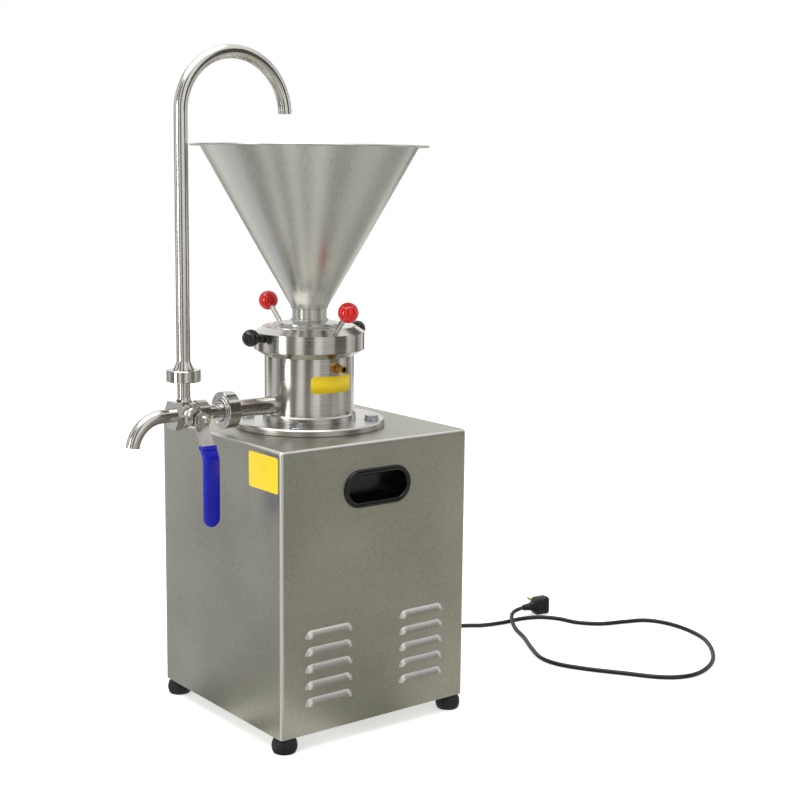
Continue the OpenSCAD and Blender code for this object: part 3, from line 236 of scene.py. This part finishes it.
def makeFinish(name):
    f = finishes[name]
    mat = bpy.data.materials.new(name)
    mat.use_nodes = True
    tree = mat.node_tree
    shader = tree.nodes["Principled BSDF"]
    shader.inputs["Metallic"].default_value = f["metallic"]
    if "ior" in f:
        shader.inputs["IOR"].default_value = f["ior"]
    place = addNode(tree, "ShaderNodeTexCoord").outputs["Object"]
    if "rings" in f:
        # distance from the axis plus the place along it gives rings on faces and on sides alike
        centre, across, along = turning[f["axis"]]
        off = addNode(tree, "ShaderNodeVectorMath", {0: place, 1: centre}, operation="SUBTRACT")
        flat = addNode(tree, "ShaderNodeVectorMath", {
            0: off.outputs[0], 1: across}, operation="MULTIPLY")
        reach = addNode(tree, "ShaderNodeVectorMath", {0: flat.outputs[0]}, operation="LENGTH")
        parts = addNode(tree, "ShaderNodeSeparateXYZ", {0: place}).outputs
        total = addNode(tree, "ShaderNodeMath", {
            0: reach.outputs["Value"], 1: parts[along]}, operation="ADD")
        fine = addNode(tree, "ShaderNodeTexNoise", {
            "W": total.outputs[0], "Scale": perMetre / f["rings"], **pattern["rings"],
        }, noise_dimensions="1D").outputs["Fac"]
    else:
        grain = addNode(tree, "ShaderNodeMapping", {
            "Vector": place, "Scale": tuple(perMetre / g for g in f["grain"])})
        fine = addNode(tree, "ShaderNodeTexNoise", {
            "Vector": grain.outputs[0], "Scale": 1.0, **pattern["grain"]}).outputs["Fac"]
    broad = addNode(tree, "ShaderNodeTexNoise", {
        "Vector": place, "Scale": perMetre / f["cloud"], **pattern["cloud"]}).outputs["Fac"]
    mixed = addNode(tree, "ShaderNodeMath", {0: fine, 1: broad}, operation="ADD")
    share = addNode(tree, "ShaderNodeMapRange", {
        "Value": mixed.outputs[0], **pattern["tintSpan"]})
    colour = addNode(tree, "ShaderNodeMix", {
        "Factor": share.outputs[0], 6: hexToLinear(f["dark"]), 7: hexToLinear(f["light"]),
    }, data_type="RGBA").outputs[2]
    if "bends" in f:
        # a face that looks along no axis lies on a bent edge and gets the painted highlight there
        normal = addNode(tree, "ShaderNodeNewGeometry").outputs["Normal"]
        size = addNode(tree, "ShaderNodeVectorMath", {0: normal}, operation="ABSOLUTE")
        parts = addNode(tree, "ShaderNodeSeparateXYZ", {0: size.outputs[0]}).outputs
        most = parts["X"]
        for other in ("Y", "Z"):
            most = addNode(tree, "ShaderNodeMath", {
                0: most, 1: parts[other]}, operation="MAXIMUM").outputs[0]
        bend = addNode(tree, "ShaderNodeMapRange", {"Value": most, **pattern["bendHighlightSpan"]})
        colour = addNode(tree, "ShaderNodeMix", {
            "Factor": bend.outputs[0], 6: colour, 7: hexToLinear(f["bends"]),
        }, data_type="RGBA").outputs[2]
    gloss = addNode(tree, "ShaderNodeMapRange", {
        "Value": fine, **pattern["glossSpan"], "To Min": f["rough"][0], "To Max": f["rough"][1]})
    relief = addNode(tree, "ShaderNodeBump", {
        "Height": fine, "Strength": min(1.0, f["bump"] * pattern["reliefGain"]),
        "Distance": f["bump"] * mm})
    tree.links.new(colour, shader.inputs["Base Color"])
    tree.links.new(gloss.outputs[0], shader.inputs["Roughness"])
    tree.links.new(relief.outputs[0], shader.inputs["Normal"])
    return mat


finish = {name: makeFinish(name) for name in finishes}
print("finishes made:", len(finish))

# what each piece of the frame is made of
madeOf = {
    "groundStainlessSheet": ["cabinet_shell", "back_panel", "base_plate"],
    "brushedStainlessCone": ["hopper"],
    "turnedStainless": [
        "mill_body", "adjusting_ring", "stator_carrier", "return_union_nut", "rotor_nut"],
    "facedStainless": ["base_flange"],
    "turnedStainlessAlong": ["outlet_union_nut", "outlet_liner", "valve_end_nut"],
    "polishedTube": ["outlet_pipe", "return_pipe", "discharge_spout", "lever_rods"],
    "castStainless": [
        "valve_body", "packing_nut", "valve_lever", "lever_nut", "valve_ball", "valve_stem"],
    "groundTeeth": [
        "grinding_rotor", "grinding_stator", "drive_shaft", "guide_pins", "seal_head",
        "motor_bearings"],
    "zincPlatedSteel": ["panel_screws", "foot_screws", "flange_bolts", "motor_fan_cover"],
    "turnedBrass": ["coolant_outlet_barb", "coolant_inlet_barb", "plug_pins"],
    "polishedPhenolicRed": ["lever_knobs"],
    "polishedPhenolicBlack": ["front_lock_knob", "rear_lock_knob"],
    "dippedVinylBlue": ["lever_grip"],
    "sparkedAbsBlack": [
        "switch_body", "switch_rocker", "cable_gland", "motor_fan", "power_plug"],
    "glossyAbsBlack": ["right_handle", "left_handle"],
    "mouldedRubber": ["rubber_feet"],
    "extrudedPvc": ["power_cord"],
    "whiteSeal": ["hopper_gasket", "outlet_gasket", "return_gasket", "valve_seats"],
    "sprayedMachinePaint": ["motor_flange", "motor_housing", "motor_end_cover"],
    "varnishedLaminations": ["motor_stator", "motor_rotor"],
    "pressedCarbon": ["seal_seat"],
    "mouldedCan": ["run_capacitor"],
}
for name, members in madeOf.items():
    for member in members:
        slots = nodes[member].data.materials
        slots.clear()
        slots.append(finish[name])
print("frame dressed")


# a mesh piece in the frame's own place, carried by a body
def addPiece(name, verts, faces, body, slotName, material, smooth=True):
    mesh = bpy.data.meshes.new(name)
    mesh.from_pydata([tuple(v) for v in verts], [], faces)
    mesh.validate()
    made = bmesh.new()
    made.from_mesh(mesh)
    bmesh.ops.recalc_face_normals(made, faces=made.faces)
    made.to_mesh(mesh)
    made.free()
    for face in mesh.polygons:
        face.use_smooth = smooth
    mesh.materials.append(finish[material])
    piece = bpy.data.objects.new(name, mesh)
    scene.collection.objects.link(piece)
    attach(piece, body)
    return piece


# outlines in mm: a rectangle with round corners, a circle and a nearly round section
def roundedOutline(w, h, r, steps=6):
    out = []
    for cx, cy, start in ((w / 2 - r, h / 2 - r, 0), (r - w / 2, h / 2 - r, 90),
                          (r - w / 2, r - h / 2, 180), (w / 2 - r, r - h / 2, 270)):
        for k in range(steps + 1):
            a = math.radians(start + 90 * k / steps)
            out.append((cx + r * math.cos(a), cy + r * math.sin(a)))
    return out


def circle(r, points):
    turns = [2 * math.pi * k / points for k in range(points)]
    return [(r * math.cos(a), r * math.sin(a)) for a in turns]


def softRound(r):
    return roundedOutline(2 * r, 2 * r, r * 0.98)


# an outline set at a centre, in the plane of two directions
def loop(centre, u, v, outline):
    return [centre + u * (a * mm) + v * (b * mm) for a, b in outline]


# loops joined into a closed skin, capped at both ends or run round to the start
def skin(loops, closed=False):
    n = len(loops[0])
    verts = [v for ring in loops for v in ring]
    faces = []
    for i in range(len(loops) if closed else len(loops) - 1):
        a, b = i * n, (i + 1) % len(loops) * n
        faces += [(a + k, a + (k + 1) % n, b + (k + 1) % n, b + k) for k in range(n)]
    if not closed:
        faces += [list(range(n)), list(range(len(verts) - n, len(verts)))]
    return verts, faces


# a section carried round a circle in the plane of u and v; it may change from step to step
def hoop(centre, u, v, side, radius, steps, section):
    loops = []
    for k in range(steps):
        a = 2 * math.pi * k / steps
        out = u * math.cos(a) + v * math.sin(a)
        loops.append(loop(centre + out * radius, out, side, section(k)))
    return skin(loops, closed=True)


def between(pair, share):
    return pair[0] + (pair[1] - pair[0]) * share


# plain yellow stickers on the cabinet's front and round the mill body: mm and degrees
sticker = {"t": 0.25, "round": 4.0, "frontX": (80.6, 153.0), "frontZ": (364, 413),
           "frontLift": 0.02, "bodyZ": (476.5, 500.5), "bodyTurn": (57.5, 119.5), "bodyR": 65.0,
           "bodyLift": 0.03, "bodySteps": 36, "bodyCorner": 16}


def addStickers():
    s = sticker
    (x0, x1), (z0, z1) = s["frontX"], s["frontZ"]
    outline = roundedOutline(x1 - x0, z1 - z0, s["round"])
    loops = []
    for depth in (s["frontLift"], s["t"]):
        centre = Vector(((x0 + x1) / 2 * mm, cabinetFront - depth * mm, (z0 + z1) / 2 * mm))
        loops.append(loop(centre, right, up, outline))
    addPiece("frontSticker", *skin(loops), "frame", "white_seal", "plainYellowVinyl", smooth=False)
    (z0, z1), near, far = s["bodyZ"], s["bodyR"] + s["bodyLift"], s["bodyR"] + s["t"]
    loops = []
    for k in range(s["bodySteps"] + 1):
        share = k / s["bodySteps"]
        a = math.radians(between(s["bodyTurn"], share) - 90)
        out = Vector((math.cos(a), math.sin(a), 0))
        # the ends draw in to round the corners
        end = max(0, 1 - min(share, 1 - share) * s["bodyCorner"])
        inset = s["round"] * (1 - math.sqrt(1 - end * end))
        low, high = z0 + inset, z1 - inset
        section = [(near, low), (near, high), (far, high), (far, low)]
        loops.append(loop(back * millAxis.y, out, up, section))
    addPiece("bodySticker", *skin(loops), "frame", "white_seal", "plainYellowVinyl")
    print("stickers on")


addStickers()

# blue vinyl sleeve dipped over the valve's handle: a flat bar with soft edges and a round end;
# runs give the first height, the step and the count of its sections, from the valve's middle
sleeve = {"near": 48.0, "far": 72.0, "bendZ": -12.0, "straightZ": -50.0, "tipZ": -144.4,
          "runs": ((-34.0, 2.0, 7), (-47.5, 1.5, 5), (-58.0, 10.0, 8)), "tipSteps": 12,
          "tipClear": 1.0, "wide": 24.4, "thick": 8.4, "edge": 3.2, "edgeShare": 0.9,
          "edgeSteps": 5, "lip": 0.5, "lipRows": (1, 2), "easeReach": 6.0, "easeDepth": 0.9,
          "tipThin": 0.45, "tipHalf": 0.2}


def addSleeve():
    s = sleeve
    half = s["wide"] / 2
    slope = (s["far"] - s["near"]) / (s["bendZ"] - s["straightZ"])
    turns = [math.pi / 2 * k / s["tipSteps"] for k in range(s["tipSteps"] + 1)]
    tip = [s["tipZ"] + half * (1 - math.sin(a)) for a in turns]
    heights = [first - step * k for first, step, count in s["runs"] for k in range(count)]
    heights = [z for z in heights if z > tip[0] + s["tipClear"]] + tip
    loops = []
    for i, z in enumerate(heights):
        x = s["near"] + slope * (s["bendZ"] - z) if z > s["straightZ"] else s["far"]
        # the bend is eased over a few mm
        ease = max(0.0, 1 - abs(z - s["straightZ"]) / s["easeReach"])
        x -= s["easeDepth"] * ease * ease
        below = max(0.0, s["tipZ"] + half - z) / half
        fill = math.sqrt(max(0.0, 1 - below * below))
        wide = max(s["tipHalf"], half * fill)
        thick = s["thick"] / 2 * between((s["tipThin"], 1), fill)
        lip = s["lip"] if i in s["lipRows"] else 0
        edge = min(s["edge"], thick * s["edgeShare"], wide * s["edgeShare"])
        outline = roundedOutline(2 * (wide + lip), 2 * (thick + lip), edge, s["edgeSteps"])
        centre = Vector((x * mm, valveMid.y, valveMid.z + z * mm))
        loops.append(loop(centre, back, right, outline))
    piece = addPiece(
        "vinylSleeve", *skin(loops), "valve_lever", "blue_sleeve", "dippedVinylBlue")
    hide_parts("lever_grip")


addSleeve()

# the hopper is rolled from sheet: a welded seam down the cone, with its foot and head given as
# radius and height, beads at the neck and the flange, and a turned-over rim
seam = {"turn": 79, "foot": (26.8, 595.0), "head": (155.4, 822.0), "wide": 2.8, "high": 0.45,
        "steps": 160, "arcSteps": 6, "ripple": 0.2, "ripplePace": 2.6, "sway": 0.06,
        "swayPace": 1.7, "swayStart": 0.6, "sunk": 0.3, "sunkShare": 0.8}
beads = {
    "neckBead": {"r": 25.6, "z": 593.6, "thick": 1.3, "pace": 2.6, "finish": "castStainless"},
    "flangeBead": {"r": 25.9, "z": 576.2, "thick": 1.3, "pace": 2.6, "finish": "castStainless"},
    "rimBead": {"r": 168.9, "z": 823.7, "thick": 1.5, "pace": 0.0,
                "finish": "brushedStainlessCone"},
}
beadForm = {"steps": 180, "points": 8, "ripple": 0.14}


def addSeam():
    s = seam
    turn = math.radians(s["turn"] - 90)
    out = Vector((math.cos(turn), math.sin(turn), 0))
    across = Vector((-math.sin(turn), math.cos(turn), 0))
    axis = Vector((millAxis.x, millAxis.y, 0))
    foot, head = loop(axis, out, up, (s["foot"], s["head"]))
    proud = across.cross((head - foot).normalized())
    proud = proud if proud.dot(out) > 0 else -proud
    loops = []
    for k in range(s["steps"] + 1):
        high = s["high"] * (1 + s["ripple"] * math.sin(s["ripplePace"] * k))
        wide = s["wide"] / 2 * (1 + s["sway"] * math.sin(s["swayPace"] * k + s["swayStart"]))
        arc = [math.pi * t / s["arcSteps"] for t in range(s["arcSteps"] + 1)]
        outline = [(wide * math.cos(a), high * math.sin(a)) for a in arc]
        outline += [(side * wide * s["sunkShare"], -s["sunk"]) for side in (-1, 1)]
        loops.append(loop(foot.lerp(head, k / s["steps"]), across, proud, outline))
    addPiece("hopperSeam", *skin(loops), "stator", "satin_steel_sheet", "brushedStainlessCone")


def addBeads():
    for name, bead in beads.items():
        def section(k):
            ripple = 1 + beadForm["ripple"] * math.sin(bead["pace"] * k)
            return circle(bead["thick"] * ripple, beadForm["points"])

        centre = Vector((millAxis.x, millAxis.y, bead["z"] * mm))
        made = hoop(centre, right, back, up, bead["r"] * mm, beadForm["steps"], section)
        addPiece(name, *made, "stator", "satin_steel_sheet", bead["finish"])


addSeam()
addBeads()

# the power lead: points from the cabinet's middle on the floor, in mm
lead = {
    "d": 7.0,
    "exit": (-60, 183.5, 70),
    "plugAt": (-121, 540, 16),
    "plugTurn": 8,
    "straightIn": 20,
    "straightOut": 30,
    "easeBy": 6,
    "curveSteps": 10,
    "roundSteps": 4,
    "measureSteps": 40,
    "points": [
        (-60, 210, 67), (-64, 245, 40), (-80, 280, 14), (-105, 315, 5.2), (-132, 360, 3.8),
        (-135, 405, 3.6), (-115, 440, 3.6), (-106, 480, 3.6), (-104, 518, 3.6), (-92, 552, 3.6),
        (-66, 574, 3.6), (-30, 586, 3.6), (0, 615, 3.6), (16, 658, 3.6), (32, 694, 3.6),
        (66, 712, 3.6), (114, 713, 3.6), (165, 697, 3.6), (212, 662, 3.6), (250, 618, 3.6),
        (272, 568, 3.6), (272, 527, 3.6), (250, 492, 3.6), (205, 460, 3.6), (157, 427, 3.6),
        (112, 405, 3.6), (72, 404, 3.6), (28, 424, 3.7), (-22, 452, 4.0), (-64, 470, 6),
        (-96, 490, 11.5), (-115, 512, 14.5),
    ],
}
# moulded plug: ribbed tail, waisted grip and flat face; pairs run from the tail's end to the face
plugForm = {"tail": 16.0, "tailR": (4.6, 6.2), "tailSteps": 24, "ribs": 4, "rib": 0.9,
            "body": 34.0, "bodySteps": 34, "high": (15, 31.0), "wide": (13, 22.0),
            "edge": (5.6, 5.0), "swell": 0.34, "grooves": (14, 18, 22), "grooveWide": 0.9,
            "grooveDeep": 0.9, "nose": 2.0, "noseTrim": 2.4}
# the gland's tapered tail, ribbed so that it bends with the lead
tailForm = {"start": -1, "long": 30, "r": (6.6, 4.4), "steps": 40, "rib": 0.5,
            "ribbed": (0.08, 0.94), "ribEvery": 8, "ribSteps": 5}


def onFloor(p):
    return Vector((p[0] * mm, p[1] * mm + cabinetMid.y, p[2] * mm))


def plugWays():
    turn = math.radians(lead["plugTurn"])
    ahead = Vector((math.sin(turn), math.cos(turn), 0))
    return ahead, Vector((math.cos(turn), -math.sin(turn), 0))


def addPlug():
    p = plugForm
    ahead, across = plugWays()
    start = onFloor(lead["plugAt"])
    loops = []
    for k in range(p["tailSteps"] + 1):
        share = k / p["tailSteps"]
        rib = p["rib"] * (0.5 - 0.5 * math.cos(2 * math.pi * share * p["ribs"]))
        centre = start + ahead * (p["tail"] * share * mm)
        loops.append(loop(centre, across, up, softRound(between(p["tailR"], share) + rib)))
    for k in range(p["bodySteps"] + 1):
        share = k / p["bodySteps"]
        place = p["body"] * share
        swell = min(1.0, share / p["swell"])
        swell = swell * swell * (3 - 2 * swell)
        groove = max(math.exp(-((place - g) / p["grooveWide"]) ** 2) for g in p["grooves"])
        nose = max(0.0, (place - p["body"] + p["nose"]) / p["nose"])
        trim = 2 * groove * p["grooveDeep"]
        trim += p["noseTrim"] * (1 - math.sqrt(max(0, 1 - nose * nose)))
        wide, high, edge = (between(p[key], swell) for key in ("wide", "high", "edge"))
        centre = start + ahead * ((p["tail"] + place) * mm)
        loops.append(loop(centre, across, up, roundedOutline(wide - trim, high - trim, edge)))
    piece = addPiece("mouldedPlug", *skin(loops), "frame", "black_plastic", "sparkedAbsBlack")
    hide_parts("power_plug")
    return piece


def addLead():
    route = [onFloor(p) for p in [lead["exit"]] + lead["points"] + [lead["plugAt"]]]
    before = route[0] - back * (lead["straightIn"] * mm)
    after = route[-1] + plugWays()[0] * (lead["straightOut"] * mm)
    line = [before] + route + [after]
    data = bpy.data.curves.new("leadCord", "CURVE")
    data.dimensions = "3D"
    data.bevel_depth = lead["d"] / 2 * mm
    data.bevel_resolution = lead["roundSteps"]
    data.resolution_u = lead["curveSteps"]
    data.use_fill_caps = True
    spline = data.splines.new("BEZIER")
    spline.bezier_points.add(len(route) - 1)
    for i, point in enumerate(spline.bezier_points):
        slope = (line[i + 2] - line[i]) / lead["easeBy"]
        point.co = route[i]
        point.handle_left_type = point.handle_right_type = "FREE"
        point.handle_left = route[i] - slope
        point.handle_right = route[i] + slope
    cord = bpy.data.objects.new("leadCord", data)
    scene.collection.objects.link(cord)
    data.materials.append(finish["extrudedPvc"])
    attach(cord, "frame")
    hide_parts("power_cord")
    addPlug()


def addTail():
    f = tailForm
    start = onFloor(lead["exit"])
    run = (onFloor(lead["points"][0]) - start).normalized()
    loops = []
    for k in range(f["steps"] + 1):
        share = k / f["steps"]
        ribbed = f["ribbed"][0] < share < f["ribbed"][1] and k % f["ribEvery"] < f["ribSteps"]
        r = between(f["r"], share) + (f["rib"] if ribbed else 0)
        centre = start + run * ((f["start"] + f["long"] * share) * mm)
        loops.append(loop(centre, right, run.cross(right), softRound(r)))
    addPiece("glandTail", *skin(loops), "frame", "black_plastic", "mouldedRubber")


addLead()
addTail()

# pan-head screws with a cross recess, as a height over rings and spokes; tilts are in radians
screw = {"r": 3.7, "high": 2.3, "crown": 3.2, "slotWide": 0.9, "slotLong": 2.1, "slotDeep": 1.3,
         "spokes": 40, "rings": 12, "rows": 4, "insetX": 3.515, "insetZ": 3.5, "sunk": 2.0,
         "tilt": 0.5, "tiltRow": 1.3, "tiltSide": 0.8}


def screwHeight(u, v):
    r = math.hypot(u, v)
    height = screw["high"] * math.sqrt(max(0, 1 - (r / screw["r"]) ** screw["crown"]))
    if min(abs(u), abs(v)) < screw["slotWide"] / 2 and r < screw["slotLong"]:
        height -= screw["slotDeep"]
    return height


def addScrews():
    low, high = corners("panel_screws")
    spokes, rings = screw["spokes"], screw["rings"]
    heights = (low.z + screw["insetZ"] * mm, high.z - screw["insetZ"] * mm)
    face = high.y - screw["sunk"] * mm
    verts, faces = [], []
    for x in (low.x + screw["insetX"] * mm, high.x - screw["insetX"] * mm):
        for i in range(screw["rows"]):
            centre = Vector((x, face, between(heights, i / (screw["rows"] - 1))))
            tilt = screw["tilt"] + screw["tiltRow"] * i + (screw["tiltSide"] if x > 0 else 0)
            across = right * math.cos(tilt) + up * math.sin(tilt)
            along = up * math.cos(tilt) - right * math.sin(tilt)
            first = len(verts)
            verts.append(centre + back * ((screw["high"] - screw["slotDeep"]) * mm))
            for j in range(1, rings + 1):
                for u, v in circle(screw["r"] * j / rings, spokes):
                    rise = back * (screwHeight(u, v) * mm)
                    verts.append(centre + across * (u * mm) + along * (v * mm) + rise)
            faces += [(first, first + 1 + k, first + 1 + (k + 1) % spokes) for k in range(spokes)]
            for j in range(rings - 1):
                a = first + 1 + j * spokes
                b = a + spokes
                faces += [(a + k, b + k, b + (k + 1) % spokes, a + (k + 1) % spokes)
                          for k in range(spokes)]
    piece = addPiece(
        "panScrews", verts, faces, "frame", "plain_steel", "zincPlatedSteel", smooth=False)
    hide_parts("panel_screws")


# the bar and ring that mark on and off, moulded proud of the rocker's two sloping faces
mark = {"behind": 1.5, "offset": 3.5, "slope": (3, 7), "bar": (0.9, 4.6, 0.4), "ringR": 2.0,
        "ringHalf": 0.4, "ringSteps": 32, "sunk": -0.1, "proud": 0.25}


def addMarks():
    top = corners("switch_rocker")[1].y - mark["behind"] * mm
    mid = middle("switch_rocker")
    rise, run = mark["slope"]
    half, sunk, proud = mark["ringHalf"], mark["sunk"], mark["proud"]
    section = [(-half, sunk), (half, sunk), (half, proud), (-half, proud)]
    for name, side in (("onBar", 1), ("offRing", -1)):
        along = Vector((0, rise, run * side)).normalized()
        out = Vector((0, run, -rise * side)).normalized()
        centre = Vector((mid.x, top, mid.z + mark["offset"] * mm * side))
        if name == "onBar":
            outline = roundedOutline(*mark["bar"])
            made = skin([loop(centre + out * (d * mm), right, along, outline)
                         for d in (sunk, proud)])
        else:
            made = hoop(centre, right, along, out, mark["ringR"] * mm, mark["ringSteps"],
                        lambda k: section)
        addPiece(name, *made, "switch_rocker", "white_seal", "whiteSeal", smooth=False)


addScrews()
addMarks()

# rings turned into the front face of the outlet's union nut, by share of its radius
nutRings = {"shares": (0.60, 0.80), "thick": (1.3, 0.9), "steps": 96, "points": 8}


def addNutRings():
    low, high = corners("outlet_union_nut")
    mid = middle("outlet_union_nut")
    centre = Vector((mid.x, low.y, mid.z))
    for i, (share, thick) in enumerate(zip(nutRings["shares"], nutRings["thick"])):
        section = circle(thick, nutRings["points"])
        radius = (high.x - low.x) / 2 * share
        made = hoop(centre, right, up, back, radius, nutRings["steps"], lambda k: section)
        addPiece("nutRing%d" % i, *made, "frame", "machined_steel", "turnedStainlessAlong")


# flat washers under the flange's bolts, with a soft outer edge
washer = {"r": 11.0, "t": 1.6, "soft": 0.5, "sunk": -0.05, "points": 40, "count": 4,
          "firstTurn": 45, "boltReach": 92, "flange": 10}


def addWashers():
    w = washer
    top = corners("base_flange")[0].z + w["flange"] * mm
    rows = ((w["r"], w["sunk"]), (w["r"], w["t"] - w["soft"]), (w["r"] - w["soft"], w["t"]))
    verts, faces = [], []
    for i in range(w["count"]):
        turn = math.radians(w["firstTurn"] + 360 / w["count"] * i)
        out = Vector((math.cos(turn), math.sin(turn), 0))
        centre = Vector((millAxis.x, millAxis.y, top)) + out * (w["boltReach"] * mm)
        made, sides = skin([loop(centre + up * (z * mm), right, back, circle(r, w["points"]))
                            for r, z in rows])
        faces += [[v + len(verts) for v in face] for face in sides]
        verts += made
    addPiece("boltWashers", verts, faces, "frame", "plain_steel", "zincPlatedSteel", smooth=False)


addNutRings()
addWashers()
print("detail pieces on")


# studio: white for the camera and the reflections, softer light for the rest
studio = {"ambient": 0.70, "floor": "#f4f4f4", "floorSize": 14.0, "floorGlow": 0.5}
white = (1, 1, 1, 1)


def addWorld():
    world = bpy.data.worlds.new("studio")
    world.use_nodes = True
    scene.world = world
    tree = world.node_tree
    tree.nodes.clear()
    path = addNode(tree, "ShaderNodeLightPath").outputs
    seen = addNode(tree, "ShaderNodeMath", {
        0: path["Is Camera Ray"], 1: path["Is Glossy Ray"]}, operation="ADD")
    seen = addNode(tree, "ShaderNodeMath", {
        0: seen.outputs[0], 1: path["Is Transmission Ray"]}, operation="ADD", use_clamp=True)
    soft = addNode(tree, "ShaderNodeBackground", {"Color": white, "Strength": studio["ambient"]})
    plain = addNode(tree, "ShaderNodeBackground", {"Color": white, "Strength": 1.0})
    mix = addNode(tree, "ShaderNodeMixShader", {
        0: seen.outputs[0], 1: soft.outputs[0], 2: plain.outputs[0]})
    addNode(tree, "ShaderNodeOutputWorld", {0: mix.outputs[0]})


# a stage mesh with a material of its own; the material's output is left to the caller
def addStagePiece(name, materialName, verts, faces):
    mat = bpy.data.materials.new(materialName)
    mat.use_nodes = True
    mat.node_tree.nodes.clear()
    mesh = bpy.data.meshes.new(name)
    mesh.from_pydata(verts, [], faces)
    mesh.materials.append(mat)
    piece = bpy.data.objects.new(name, mesh)
    scene.collection.objects.link(piece)
    return piece, mat.node_tree


def addFloor():
    half = studio["floorSize"] / 2
    plan = [(-half, -half, 0), (half, -half, 0), (half, half, 0), (-half, half, 0)]
    tree = addStagePiece("studioFloor", "paleStudioFloor", plan, [(0, 1, 2, 3)])[1]
    path = addNode(tree, "ShaderNodeLightPath").outputs
    seen = addNode(tree, "ShaderNodeMath", {
        0: path["Is Camera Ray"], 1: path["Is Glossy Ray"]}, operation="ADD", use_clamp=True)
    matte = addNode(tree, "ShaderNodeBsdfDiffuse", {"Color": hexToLinear(studio["floor"])})
    glow = addNode(tree, "ShaderNodeEmission", {"Color": white, "Strength": studio["floorGlow"]})
    both = addNode(tree, "ShaderNodeAddShader", {0: matte.outputs[0], 1: glow.outputs[0]})
    mix = addNode(tree, "ShaderNodeMixShader", {
        0: seen.outputs[0], 1: matte.outputs[0], 2: both.outputs[0]})
    addNode(tree, "ShaderNodeOutputMaterial", {0: mix.outputs[0]})


# grey flats round the machine give the bright steel its dark bands, and grey cloths on the floor
# stand for the darker room below eye level; both show only in reflections, and their spans are in
# degrees from the camera
flats = {"reach": 3.2, "low": 0.02, "high": 3.4, "steps": 6, "spans": [
    (-126, -106, "#4a4640"), (-76, -58, "#4a4640"), (-47, -24, "#7a756c"), (-6, 14, "#54504a"),
    (56, 86, "#4a4640"), (112, 124, "#6a665f"), (150, 164, "#5a564f")]}
cloths = {"reach": 6.5, "lift": 0.001, "steps": 6, "spans": [
    (-180, -142, "#a09f99"), (-142, -116, "#f2f1ec"), (-116, -88, "#d9d9de"),
    (-88, -60, "#9a9993"), (-60, -46, "#f4f3ee"), (-46, -30, "#8c8b85"), (-30, -11, "#f4f3ee"),
    (-11, 6, "#a3a29c"), (6, 30, "#eeede8"), (30, 62, "#a9a8a1"), (62, 100, "#d2d1c9"),
    (100, 140, "#b0afa9"), (140, 180, "#eeede8")]}


# a place round the mill on plan, at an angle from the camera
def roundMill(turn, reach):
    a = math.radians(shot["yaw"] + turn - 90)
    return reach * math.cos(a), millAxis.y + reach * math.sin(a)


def addCard(name, verts, faces, code):
    card, tree = addStagePiece(name, name, verts, faces)
    glow = addNode(tree, "ShaderNodeEmission", {"Color": hexToLinear(code), "Strength": 1.0})
    addNode(tree, "ShaderNodeOutputMaterial", {0: glow.outputs[0]})
    card.visible_camera = False
    card.visible_diffuse = False
    card.visible_shadow = False
    card.visible_transmission = False


def addFlats():
    steps = flats["steps"]
    for i, (start, end, code) in enumerate(flats["spans"]):
        verts = []
        for k in range(steps + 1):
            x, y = roundMill(between((start, end), k / steps), flats["reach"])
            verts += [(x, y, flats["low"]), (x, y, flats["high"])]
        faces = [(2 * k, 2 * k + 2, 2 * k + 3, 2 * k + 1) for k in range(steps)]
        addCard("greyFlat%d" % i, verts, faces, code)


def addCloths():
    steps, lift = cloths["steps"], cloths["lift"]
    for i, (start, end, code) in enumerate(cloths["spans"]):
        verts = [(millAxis.x, millAxis.y, lift)]
        for k in range(steps + 1):
            verts.append((*roundMill(between((start, end), k / steps), cloths["reach"]), lift))
        addCard("greyCloth%d" % i, verts, [(0, k + 1, k + 2) for k in range(steps)], code)


# soft boxes, an overhead one and a standing strip: degrees from the camera, m and W
lamps = {
    "overhead": {"turn": -60, "reach": 0.5, "up": 2.7, "wide": 2.2, "tall": 2.2, "watts": 40},
    "strip": {"turn": -53, "reach": 2.9, "up": 0.75, "wide": 0.45, "tall": 1.5, "watts": 16},
}
lampAim = 0.35


def addLamps():
    target = Vector((0, millAxis.y, lampAim))
    for name, lamp in lamps.items():
        data = bpy.data.lights.new(name, "AREA")
        data.shape = "RECTANGLE"
        data.size, data.size_y = lamp["wide"], lamp["tall"]
        data.energy = lamp["watts"]
        light = bpy.data.objects.new(name, data)
        light.location = (*roundMill(lamp["turn"], lamp["reach"]), lamp["up"])
        light.rotation_euler = (target - light.location).to_track_quat("-Z", "Y").to_euler()
        scene.collection.objects.link(light)


addWorld()
addFloor()
addFlats()
addCloths()
addLamps()
print("studio lit")
